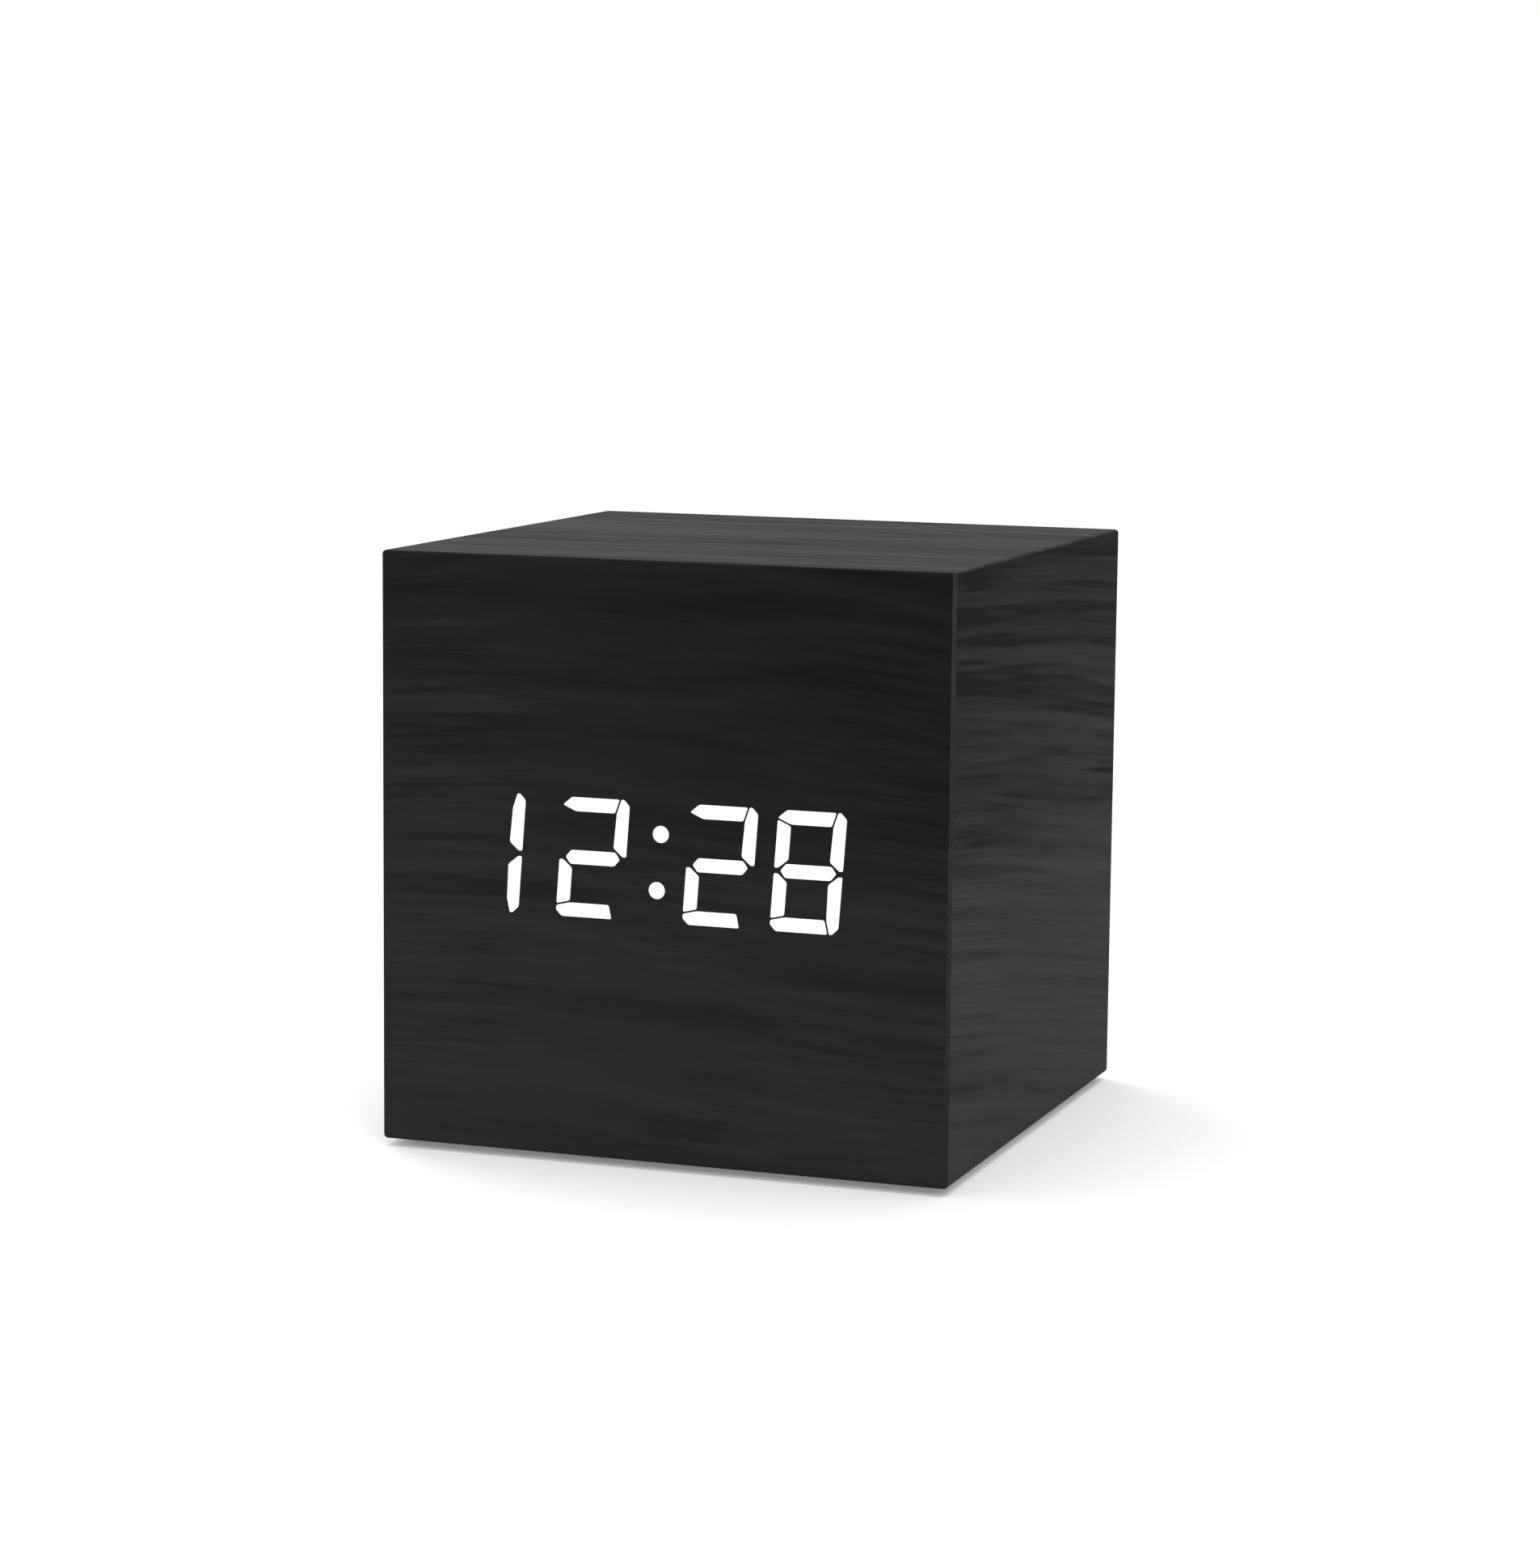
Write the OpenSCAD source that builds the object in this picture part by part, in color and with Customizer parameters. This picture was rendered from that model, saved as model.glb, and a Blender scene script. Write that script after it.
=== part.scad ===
// Cube-shaped desk alarm clock. White seven-segment figures shine through a black wood-grain film.
// Millimetres. The origin is the middle of the footprint on the table, the figures face -Y and +Z is up.

/* [Case] */
// Width of the case, side to side
case_w = 62; // [55:0.5:90]
// Depth of the case, front to back
case_d = 62; // [50:0.5:90]
// Height of the case, without its feet
case_h = 62; // [55:0.5:90]
// Thickness of the fibreboard walls
board_t = 3.6; // [2.8:0.1:3.9]
// Thickness of the wood-grain film
film_t = 0.4; // [0.3:0.05:0.6]
// Rounding of the four long edges
edge_round = 0.5; // [0.1:0.05:0.9]

/* [Feet] */
// Diameter of a foot pad
foot_d = 8; // [5:0.5:12]
// Thickness of a foot pad
foot_h = 0.8; // [0.5:0.1:3]
// Distance from the case's side to the middle of a foot
foot_inset = 9; // [7:0.5:16]

/* [Time shown] */
// Hour that is lit
hour = 12; // [1:1:12]
// Minute that is lit
minute = 28; // [0:1:59]

/* [Figures] */
// Width of an upright figure
figure_w = 7.3; // [6.4:0.1:8.2]
// Height of a figure
figure_h = 12.4; // [10:0.1:14]
// Width of a segment's stroke
stroke_w = 1.45; // [1.2:0.05:1.8]
// Dark line between two segments
segment_gap = 0.2; // [0.1:0.02:0.3]
// Lean of the figures to the right, in degrees
slant = 4; // [0:0.5:8]
// Rounding of a segment's corners
segment_round = 0.2; // [0.05:0.01:0.22]
// Place of the first figure from the middle of the face, in percent of the case's width
first_at = -30.3; // [-31.5:0.1:-28]
// Place of the second figure, in percent of the case's width
second_at = -11.8; // [-13:0.1:-10.5]
// Place of the third figure, in percent of the case's width
third_at = 10.6; // [10:0.1:11.3]
// Place of the fourth figure, in percent of the case's width
fourth_at = 25.8; // [25:0.1:28.2]
// Diameter of a colon dot
colon_d = 1.75; // [1.2:0.05:2.2]
// Distance between the two colon dots
colon_gap = 5.8; // [4:0.05:7]
// Height of the figures' middle above the middle of the face
figures_rise = 0.3; // [-3:0.1:3]

/* [Display module] */
// Plastic left round the outermost figures
housing_rim = 1.4; // [0.8:0.1:1.8]
// Depth of the reflector housing, film side to board
housing_d = 6; // [4.5:0.1:9]
// Thickness of the clear fill in a segment's well
lens_t = 1.2; // [0.6:0.1:2.5]
// Thickness of the diffuser sheet
diffuser_t = 0.3; // [0.2:0.05:0.5]
// Room between the housing and the window in the front board
window_gap = 0.2; // [0.1:0.05:0.4]
// Length of a light-emitting chip
led_l = 1.6; // [1:0.1:2]
// Width of a light-emitting chip
led_w = 0.8; // [0.5:0.05:1]
// Height of a light-emitting chip
led_h = 0.6; // [0.3:0.05:1]

/* [Main board] */
// Room between the main board and the side walls
main_gap = 2; // [1.2:0.1:3]
// Height of the main board
main_h = 41; // [40:0.5:48]
// Thickness of the circuit boards
pcb_t = 1.6; // [0.8:0.1:2]
// Distance from the main board's edges to its screws
main_screw_inset = 3; // [2.8:0.1:3.4]
// Diameter of the spacers behind the main board
spacer_d = 4.4; // [3.8:0.1:5]
// Diameter of the buzzer
buzzer_d = 12; // [9:0.5:12.5]
// Height of the buzzer
buzzer_h = 8.5; // [5:0.5:12]
// Diameter of the coin cell, in percent of the main board's width
coin_share = 40; // [32:1:40]
// Thickness of the coin cell
coin_t = 3.2; // [1.6:0.1:3.2]
// Diameter of a capacitor
capacitor_d = 5; // [4:0.1:5.5]
// Height of a capacitor
capacitor_h = 8; // [5:0.5:12]
// Diameter of the crystal's can
crystal_d = 2; // [1.5:0.1:3]
// Length of the crystal's can
crystal_l = 6; // [4:0.1:7]

/* [Back panel] */
// Thickness of the back panel
panel_t = 2.5; // [2.3:0.1:3.2]
// Depth of the back panel below the rear edge of the case
panel_recess = 1.2; // [0.9:0.1:3]
// Room between the back panel and the walls
panel_gap = 0.2; // [0.1:0.05:0.3]
// Width of a corner block
block_w = 7; // [6.4:0.1:7.4]
// Length of a corner block
block_l = 10; // [9:0.5:14]
// Length of a back screw under its head
back_screw_l = 7.5; // [5:0.1:8]

/* [Screws] */
// Diameter of a screw's shank
screw_d = 2; // [1.6:0.1:2.2]
// Diameter of a screw's head
screw_head_d = 3.6; // [3:0.1:3.8]
// Height of a screw's head
screw_head_h = 1.3; // [0.8:0.1:1.4]
// Room round a shank in the piece that it clamps
screw_room = 0.15; // [0.05:0.05:0.25]
// Room round a shank in the piece that it holds in
thread_room = 0.02; // [0.01:0.01:0.05]

/* [Buttons] */
// Diameter of a button cap, in percent of the distance between the buttons
button_share = 66.7; // [56:0.1:72]
// How far a button stands out of the back panel
button_proud = 0.8; // [0.4:0.1:0.9]
// Distance between the buttons, in percent of the key board's width
button_step = 19.2; // [17.5:0.1:20]
// Place of the middle button, in percent of the key board's width
button_at = 10.3; // [9.8:0.1:11.6]
// Room round a button in its hole
button_gap = 0.2; // [0.1:0.05:0.3]
// Width of the flange that keeps a button in
button_lip = 0.6; // [0.4:0.05:0.8]
// Thickness of that flange
button_lip_t = 0.8; // [0.5:0.1:1.2]
// Travel of a button
button_travel = 0.3; // [0.1:0.05:0.5]

/* [Key board] */
// Height of the key board
key_h = 9.6; // [8.4:0.1:9.8]
// Width of a switch, in percent of the distance between the buttons
switch_share = 80; // [75:1:83]
// Height of a switch, without its plunger
switch_h = 3.5; // [3:0.1:5]
// Thickness of a switch's cover plate
switch_cover_t = 0.3; // [0.2:0.05:0.5]
// Diameter of a plunger
plunger_d = 3.4; // [2.6:0.1:3.6]
// How far a pressed plunger still stands out of its switch
plunger_stay = 0.7; // [0.3:0.1:1.5]
// Room round a plunger
plunger_gap = 0.1; // [0.05:0.01:0.15]
// Diameter of the posts that carry the key board, in percent of its width
post_share = 10.2; // [8.2:0.1:10.6]

/* [Power socket] */
// Width of the socket's shell, in percent of the key board's width
usb_share = 19.5; // [18.5:0.1:19.8]
// Height of the socket's shell
usb_h = 2.9; // [2.6:0.1:3.2]
// Thickness of the shell's sheet
usb_sheet = 0.3; // [0.2:0.05:0.4]
// Place of the socket, in percent of the key board's width
usb_at = -29.5; // [-29.7:0.1:-28.7]
// Depth of the socket's mouth below the face of the panel
usb_recess = 0.4; // [0:0.1:1]
// Room round the shell in the panel's slot
usb_gap = 0.3; // [0.15:0.05:0.5]

/* [Battery] */
// Room between the battery tray and the side walls
tray_side = 0.75; // [0.5:0.05:1.5]
// Room between the battery tray and the key board
tray_key_gap = 1.8; // [1.6:0.1:3]
// Room round a cell
cell_gap = 0.3; // [0.15:0.05:0.4]
// Thickness of the tray's walls
tray_wall = 1; // [0.8:0.05:1.1]
// Width of the tray's rim on the back panel
tray_rim = 1; // [0.6:0.1:1.1]
// Thickness of the contact plates
plate_t = 0.4; // [0.2:0.05:0.5]
// Length of a battery spring with the cell in
spring_l = 3.2; // [2.8:0.1:3.5]
// Diameter of the spring's wire
spring_wire = 0.5; // [0.4:0.05:0.6]
// Diameter of the battery leads
lead_d = 1.1; // [0.8:0.05:1.2]

/* [Battery door] */
// Thickness of the door
door_t = 1.6; // [1.2:0.1:1.9]
// Room between the door and its opening
door_gap = 0.2; // [0.1:0.05:0.3]
// Diameter of the hinge barrel along the door's top
barrel_d = 1.8; // [1.5:0.05:1.9]
// Diameter of the hinge pegs
peg_d = 1.2; // [0.9:0.05:1.3]
// Length of the hinge pegs
peg_l = 1.2; // [0.8:0.1:1.3]
// Room round a hinge peg
peg_gap = 0.05; // [0.02:0.01:0.1]
// Panel left outside a hinge peg's hole
peg_cover = 0.5; // [0.35:0.05:0.7]
// Room above the door for its swing
swing_gap = 0.3; // [0.2:0.05:0.5]
// Width of the latch
latch_w = 8; // [5:0.5:12]
// Thickness of the latch's leaf
latch_t = 0.8; // [0.6:0.05:0.9]
// Height of the latch's bow
latch_h = 3.3; // [2.8:0.1:3.5]
// How far the latch's tooth reaches behind the panel
tooth = 0.8; // [0.5:0.05:1]

/* [Hidden] */
$fn = 48;
overcut = 1;

// Faces of the case
side_x = case_w / 2;
front_y = -case_d / 2;
rear_y = case_d / 2;
base_z = foot_h;
top_z = foot_h + case_h;
mid_z = foot_h + case_h / 2;
wall = film_t + board_t;
in_x = side_x - wall;
in_z0 = base_z + wall;
in_z1 = top_z - wall;
board_y = front_y + film_t;
in_y = front_y + wall;
turn_y = rear_y - film_t;
pilot_skin = 0.9;
pilot_depth = board_t - pilot_skin;
screw_spare = 0.3;
screw_taper = 0.8;
screw_slot_l = 0.6 * screw_head_d;
screw_slot_w = screw_d / 4;
screw_slot_z = 0.45 * screw_head_h;

// Display, film to main board
figures_z = mid_z + figures_rise;
housing_y = board_y + diffuser_t;
pcb_y = housing_y + housing_d;
main_rear = pcb_y + pcb_t;
figure_x = [for (at = [first_at, second_at, third_at, fourth_at]) at / 100 * case_w];
colon_shift = 0.3;
colon_x = (figure_x[1] + figure_x[2]) / 2 + colon_shift;
colon_lean = colon_gap / 2 * tan(slant);
lean = figure_h / 2 * tan(slant);
housing_x0 = figure_x[0] - figure_w / 2 - lean - housing_rim;
housing_x1 = figure_x[3] + figure_w / 2 + lean + housing_rim;
housing_half = figure_h / 2 + housing_rim;
main_w = 2 * (in_x - main_gap);
main_screws = [
    for (x = [-1, 1], z = [-1, 1])
        [x * (main_w / 2 - main_screw_inset), figures_z + z * (main_h / 2 - main_screw_inset)]
];

// Which segments make each figure, and which figures show the time
segment_names = "abcdefg";
segments_of = ["abcdef", "bc", "abdeg", "abcdg", "bcfg", "acdfg", "acdefg", "abc", "abcdefg", "abcdfg", ""];
no_figure = 10;
shown = [hour < 10 ? no_figure : floor(hour / 10), hour % 10, floor(minute / 10), minute % 10];

// Outlines of the segments of an upright figure about its middle
half_w = figure_w / 2;
half_h = figure_h / 2;
in_w = half_w - stroke_w;
in_h = half_h - stroke_w;
half_s = stroke_w / 2;
half_g = segment_gap / 2;
tip_w = in_w + 0.72 * stroke_w;
tip_g = 1.4 * segment_gap;
shoulder = half_s + tip_g + 0.11 * stroke_w;
bar_tip = in_w + 0.54 * stroke_w;
bar_in = in_w + 0.15 * stroke_w;
tilt = 0.28 * stroke_w;
top_cut = 0.64 * stroke_w;
low_cut = 0.83 * stroke_w;
foot_cut = 0.45 * stroke_w;
segment_outlines = [
    [
        [-half_w, half_h - top_cut + half_g], [-half_w + top_cut, half_h], [in_w + tilt - half_g, half_h],
        [in_w - half_g, in_h], [-in_w, in_h]
    ],
    [
        [in_w + tilt + half_g, half_h], [half_w - foot_cut, half_h], [half_w, half_h - foot_cut],
        [half_w, tip_g], [tip_w, tip_g], [in_w, shoulder], [in_w + half_g, in_h]
    ],
    [
        [in_w + tilt + half_g, -half_h], [half_w - foot_cut, -half_h], [half_w, -half_h + foot_cut],
        [half_w, -tip_g], [tip_w, -tip_g], [in_w, -shoulder], [in_w + half_g, -in_h]
    ],
    [
        [-half_w, -half_h + low_cut - half_g], [-in_w, -in_h], [in_w - half_g, -in_h],
        [in_w + tilt - half_g, -half_h], [-half_w + foot_cut, -half_h], [-half_w, -half_h + foot_cut]
    ],
    [
        [-half_w, -tip_g], [-tip_w, -tip_g], [-in_w, -shoulder], [-in_w, -in_h + segment_gap],
        [-half_w, -half_h + low_cut + half_g]
    ],
    [
        [-half_w, tip_g], [-tip_w, tip_g], [-in_w, shoulder], [-in_w, in_h - segment_gap],
        [-half_w, half_h - top_cut - half_g]
    ],
    [[-bar_tip, 0], [-bar_in, half_s], [bar_in, half_s], [bar_tip, 0], [bar_in, -half_s], [-bar_in, -half_s]]
];
segment_middles = [
    [0, half_h - half_s], [half_w - half_s, half_h / 2], [half_w - half_s, -half_h / 2],
    [0, -half_h + half_s], [-half_w + half_s, -half_h / 2], [-half_w + half_s, half_h / 2], [0, 0]
];
upright_segments = "bcef";
round_steps = 3;
round_share = 0.45;

// Places of the parts on the back of the main board, from the middle of the figures
microcontroller_at = [0.22 * main_w, -10];
driver_at = [0.12 * main_w, 0.6];
buzzer_at = [0.3 * main_w, 10];
capacitors_at = [[-0.38 * main_w, 10.5], [-0.25 * main_w, 10.5]];
crystal_at = [-0.09 * main_w, 7.6];
coin_at = [-0.228 * main_w, -6.8];
plug_at = [0, 16];
resistors_from = [0.04 * main_w, -17.4];
resistor_step = 0.046 * main_w;
resistor_count = 8;
resistor_size = [1.2, 2, 0.5];
microcontroller_size = [0.356 * main_w, 7.5, 2.3];
microcontroller_pins = 14;
driver_size = [0.198 * main_w, 3.9, 1.5];
driver_pins = 8;
pin_size = [0.4, 1.2, 0.3];
coin_d = coin_share / 100 * main_w;
coin_base = 1;
coin_room = 0.15;
coin_wall = 1.2;
coin_step = 0.5;
coin_cap_inset = 1.2;
coin_cup = 0.6;
coin_cup_r = coin_d / 2 + coin_room + coin_wall;
clip_t = 0.5;
clip_w = 4;
clip_room = 0.05;
crystal_rise = 0.1;
crystal_wire = 0.4;
buzzer_hole = [2, 1];
groove = 0.3;
groove_z = 1.3;
capacitor_edge = 0.4;
plug_size = [12, 5, 4.6];
plug_key = [1.2, 1.5];
ribbon_w = 10;
ribbon_t = 0.8;
ribbon_sag = 5;
ribbon_steps = 16;

// Back panel, key board and switches
panel_out = rear_y - panel_recess;
panel_in = panel_out - panel_t;
part_gap = 0.5;
block_mid = in_x - block_w / 2;
block_z = [in_z0 + block_w / 2, in_z1 - block_w / 2];
head_sunk = 0.2;
head_seat = screw_head_h + head_sunk;
lip_gap = 0.2;
lip_rear = panel_in - lip_gap;
lip_front = lip_rear - button_lip_t;
plunger_out = plunger_stay + button_travel;
switch_top = lip_front - plunger_out;
key_rear = switch_top - switch_h;
key_front = key_rear - pcb_t;
key_half = in_x - block_w - part_gap;
key_w = 2 * key_half;
key_z = in_z1 - part_gap - key_h / 2;
post_d = post_share / 100 * key_w;
post_x = key_half - post_d / 2;
post_hole = 4;
key_screw_l = pcb_t + post_hole;
button_pitch = button_step / 100 * key_w;
button_x = button_at / 100 * key_w;
button_places = [button_x + button_pitch, button_x, button_x - button_pitch];
button_d = button_share / 100 * button_pitch;
switch_w = switch_share / 100 * button_pitch;
usb_w = usb_share / 100 * key_w;
usb_x = usb_at / 100 * key_w;
switch_floor = 0.8;
switch_side = 0.5;
plunger_foot_t = 0.6;
usb_mouth = panel_out - usb_recess;
usb_chamfer = 0.9;
usb_shoulder = 0.1 * usb_h;
usb_back = 2;
usb_tongue = [0.66 * usb_w, 0.7];
usb_tongue_short = 0.8;
mark_depth = 0.2;
cap_edge = 0.3;
dot_d = 0.28 * button_d;
arrow_half = 0.24 * button_d;
arrow_back = 0.16 * button_d;
arrow_tip = 0.2 * button_d;
slot_size = [1.2, 4];
slot_pitch = 2.6;
slot_x = 0.48 * in_x;

// Battery tray, cells and door
cells = 3;
tray_gap = 0.4;
tray_half = in_x - tray_side - tray_rim - tray_wall;
tray_z0 = in_z0 + block_w + tray_gap;
tray_in_z0 = tray_z0 + tray_wall;
tray_z1 = key_z - key_h / 2 - tray_key_gap;
tray_in_z1 = tray_z1 - tray_wall;
cell_pitch = (tray_in_z1 - tray_in_z0 - cell_gap) / cells;
cell_d = cell_pitch - cell_gap;
cell_l = 2 * (tray_half - plate_t) - spring_l;
cell_y = panel_in - cell_gap - cell_d / 2;
tray_in_y = cell_y - cell_d / 2 - cell_gap;
tray_y = tray_in_y - tray_wall;
tray_rim_t = 1.2;
cell_z = [for (i = [0:cells - 1]) tray_in_z0 + cell_gap + cell_d / 2 + i * cell_pitch];
nub_d = 0.36 * cell_d;
nub_l = 0.8;
cell_edge = 0.4;
plate_half = 0.38 * cell_d;
tail_y = 1;
tail_t = 0.6;
tail_rise = 0.23 * cell_d;
tail_out = 1.2;
tail_room = 0.2;
rib_size = [1, 1.2];
rib_l = cell_l * 2 / 3;
spring_base_d = 0.667 * cell_d;
spring_tip_d = 0.42 * cell_d;
spring_turns = 2.5;
spring_rings = 8;
spring_sides = 6;
lead_sides = 8;
lead_steps = 3;
lead_x = tray_half + tray_wall + tail_out - lead_d / 2;
lead_pad_x = 0.28 * key_w;
lead_rise = 1.5;
lead_over = 0.6;
turn_bends = [[-1.1, -2.2, 1.2], [-3.6, -4.6, 2]];
pad_bends = [[6.4, -5.6, -2.6], [2.6, -5.8, -0.8], [0.4, -3.4, 0], [0, -1, 0]];
ledge = tray_wall / 2;
open_x = tray_half + ledge;
open_z0 = tray_in_z0;
door_half = open_x - door_gap;
door_z0 = open_z0 + door_gap;
hinge_in = peg_cover + peg_gap + peg_d / 2;
hinge_y = panel_out - hinge_in;
hinge_rise = 0.3;
hinge_z = tray_in_z1 + hinge_rise;
peg_end = 0.2;
open_z1 = hinge_z + max(hinge_in, barrel_d / 2) + swing_gap;
door_rib = 1;
grip_count = 4;
grip_pitch = 1.8;
grip_size = [14, 0.7, 0.35];
latch_gap = 0.2;
latch_z1 = tray_z0 - latch_gap;
latch_z0 = latch_z1 - latch_h;
latch_reach = 3.1;
latch_in = panel_in - latch_reach;
latch_web = panel_out - door_t;
latch_out = panel_out - latch_gap;
tooth_gap = 0.1;
tooth_y = panel_in - tooth_gap;
tooth_l = 1.2;
notch_z = latch_z0 - latch_gap;
notch_half = latch_w / 2 + 1.5 * latch_gap;

// A corner b between a and c, cut back by r along both sides and bowed through b. On a short side, the
// two corners share its length
function bowed_corner(a, b, c, r) =
    let (
        back = min(r, round_share * norm(a - b), round_share * norm(c - b)),
        p = b + back * unit(a - b), q = b + back * unit(c - b)
    )
    [for (i = [0:round_steps]) let (t = i / round_steps) (1 - t) ^ 2 * p + 2 * t * (1 - t) * b + t ^ 2 * q];

function rounded(points, r) =
    let (n = len(points))
    [for (i = [0:n - 1]) each bowed_corner(points[(i + n - 1) % n], points[i], points[(i + 1) % n], r)];

function rectangle(w, h) = [[-w / 2, -h / 2], [w / 2, -h / 2], [w / 2, h / 2], [-w / 2, h / 2]];

function leaning(p) = [p[0] + p[1] * tan(slant), p[1]];

function has_letter(word, letter) = len([for (c = word) if (c == letter) c]) > 0;

function is_lit(place, k) = has_letter(segments_of[shown[place]], segment_names[k]);

// Points on a smooth curve through a route
function curve_point(a, b, c, d, t) =
    0.5 * (2 * b + (c - a) * t + (2 * a - 5 * b + 4 * c - d) * t ^ 2 + (3 * b - a - 3 * c + d) * t ^ 3);

function smooth_route(points, steps) =
    let (n = len(points))
    [
        for (i = [0:n - 2], s = [0:steps - 1])
            curve_point(
                i == 0 ? 2 * points[0] - points[1] : points[i - 1], points[i], points[i + 1],
                i == n - 2 ? 2 * points[n - 1] - points[n - 2] : points[i + 2], s / steps
            ),
        points[n - 1]
    ];

function unit(v) = v / norm(v);

function heading(path, i) =
    let (n = len(path))
    unit(i == 0 ? path[1] - path[0] : i == n - 1 ? path[n - 1] - path[n - 2] : path[i + 1] - path[i - 1]);

function square_to(v, t) = unit(v - (v * t) * t);

// One side direction for each point, carried along the path without twist
function side_directions(path, start) = [
    for (i = 0, v = square_to(start, heading(path, 0)); i < len(path);
        i = i + 1, v = i < len(path) ? square_to(v, heading(path, i)) : v) v
];

function least_gap(path, d, skip) =
    min([for (i = [0:len(path) - 1], j = [0:len(path) - 1]) if (j - i > skip) norm(path[i] - path[j])]) - d;

module along_y(y0, y1) translate([0, y1, 0]) rotate([90, 0, 0]) linear_extrude(y1 - y0) children();

module along_x(x0, x1) translate([x0, 0, 0]) rotate([90, 0, 90]) linear_extrude(x1 - x0) children();

module facing_back(x, y, z) translate([x, y, z]) rotate([-90, 0, 0]) children();

module facing_front(x, y, z) translate([x, y, z]) rotate([90, 0, 0]) children();

module box_between(low, high) translate(low) cube(high - low);

module tube(path, d, sides, start) {
    directions = side_directions(path, start);
    n = len(path);
    points = [
        for (i = [0:n - 1], k = [0:sides - 1])
            let (u = directions[i], w = cross(heading(path, i), u), a = 360 * k / sides)
            path[i] + d / 2 * (cos(a) * u + sin(a) * w)
    ];
    walls = [
        for (i = [0:n - 2], k = [0:sides - 1])
            let (a = i * sides + k, b = i * sides + (k + 1) % sides)
            each [[a, b + sides, b], [a, a + sides, b + sides]]
    ];
    first_end = [for (k = [1:sides - 2]) [0, k, k + 1]];
    last = (n - 1) * sides;
    last_end = [for (k = [1:sides - 2]) [last, last + k + 1, last + k]];
    polyhedron(points, concat(walls, first_end, last_end));
}

// A pan-head screw along Z, with the underside of its head at the origin
module screw(length)
    difference() {
        union() {
            translate([0, 0, -length]) cylinder(d = screw_d, h = length + screw_head_h / 2);
            cylinder(d1 = screw_head_d, d2 = screw_head_d * screw_taper, h = screw_head_h);
        }
        for (a = [0, 90])
            rotate(a) translate([-screw_slot_l / 2, -screw_slot_w / 2, screw_slot_z])
                cube([screw_slot_l, screw_slot_w, screw_head_h]);
    }

module segment_shape(place, k)
    translate([figure_x[place], figures_z])
        polygon([for (p = rounded(segment_outlines[k], segment_round)) leaning(p)]);

module colon_shape()
    for (s = [-1, 1])
        translate([colon_x + s * colon_lean, figures_z + s * colon_gap / 2]) circle(d = colon_d);

module lit_shapes() {
    for (place = [0:3], k = [0:6])
        if (is_lit(place, k)) segment_shape(place, k);
    colon_shape();
}

module all_shapes() {
    for (place = [0:3], k = [0:6]) segment_shape(place, k);
    colon_shape();
}

module case_outline() translate([0, mid_z]) polygon(rounded(rectangle(case_w, case_h), edge_round));

module case_square(inset)
    translate([-side_x + inset, base_z + inset]) square([case_w - 2 * inset, case_h - 2 * inset]);

module window_square(gap)
    translate([housing_x0 - gap, figures_z - housing_half - gap])
        square([housing_x1 - housing_x0 + 2 * gap, 2 * housing_half + 2 * gap]);

module front_film()
    color([0.14, 0.14, 0.14]) difference() {
        along_y(front_y, board_y) case_outline();
        along_y(front_y - overcut, board_y + overcut) lit_shapes();
    }

module wrap_film()
    color([0.2, 0.2, 0.2]) {
        along_y(board_y, turn_y) difference() {
            case_outline();
            case_square(film_t);
        }
        along_y(turn_y, rear_y) difference() {
            case_outline();
            case_square(wall);
        }
    }

module front_board()
    color([0.45, 0.34, 0.24]) difference() {
        along_y(board_y, in_y) difference() {
            case_square(film_t);
            window_square(window_gap);
        }
        for (p = main_screws)
            facing_front(p[0], in_y + overcut, p[1])
                cylinder(d = screw_d + 2 * thread_room, h = pilot_depth + overcut);
    }

// A wall board between two mitred corners, for the wall whose outer face is at +Z
module wall_board(length, height)
    color([0.45, 0.34, 0.24])
        along_y(in_y, turn_y)
            polygon([
                [-length / 2 + film_t, height / 2 - film_t], [-length / 2 + wall, height / 2 - wall],
                [length / 2 - wall, height / 2 - wall], [length / 2 - film_t, height / 2 - film_t]
            ]);

module top_board() translate([0, 0, mid_z]) wall_board(case_w, case_h);

module bottom_board() translate([0, 0, mid_z]) rotate([0, 180, 0]) wall_board(case_w, case_h);

module left_board() translate([0, 0, mid_z]) rotate([0, -90, 0]) wall_board(case_h, case_w);

module right_board() translate([0, 0, mid_z]) rotate([0, 90, 0]) wall_board(case_h, case_w);

module corner_blocks()
    color([0.72, 0.56, 0.38])
        for (s = [-1, 1], z = block_z)
            difference() {
                box_between(
                    [s * block_mid - block_w / 2, panel_in - block_l, z - block_w / 2],
                    [s * block_mid + block_w / 2, panel_in, z + block_w / 2]
                );
                facing_front(s * block_mid, panel_in + overcut, z)
                    cylinder(d = screw_d + 2 * thread_room, h = back_screw_l + overcut);
            }

module feet()
    color([0.1, 0.1, 0.1])
        for (x = [-1, 1], y = [-1, 1])
            translate([x * (side_x - foot_inset), y * (rear_y - foot_inset), 0])
                cylinder(d = foot_d, h = foot_h);

module lit_segments() color([1, 1, 1]) along_y(front_y, board_y) lit_shapes();

module diffuser_sheet() color([0.85, 0.87, 0.88]) along_y(board_y, housing_y) window_square(0);

module reflector_housing()
    color([0.92, 0.92, 0.9]) difference() {
        along_y(housing_y, pcb_y) window_square(0);
        along_y(housing_y - overcut, pcb_y + overcut) all_shapes();
    }

module segment_lenses() color([0.95, 0.95, 0.86]) along_y(housing_y, housing_y + lens_t) all_shapes();

module led_chip(x, z, upright)
    translate([x, pcb_y - led_h / 2, z]) rotate([0, upright ? 90 : 0, 0])
        cube([led_l, led_h, led_w], center = true);

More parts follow.
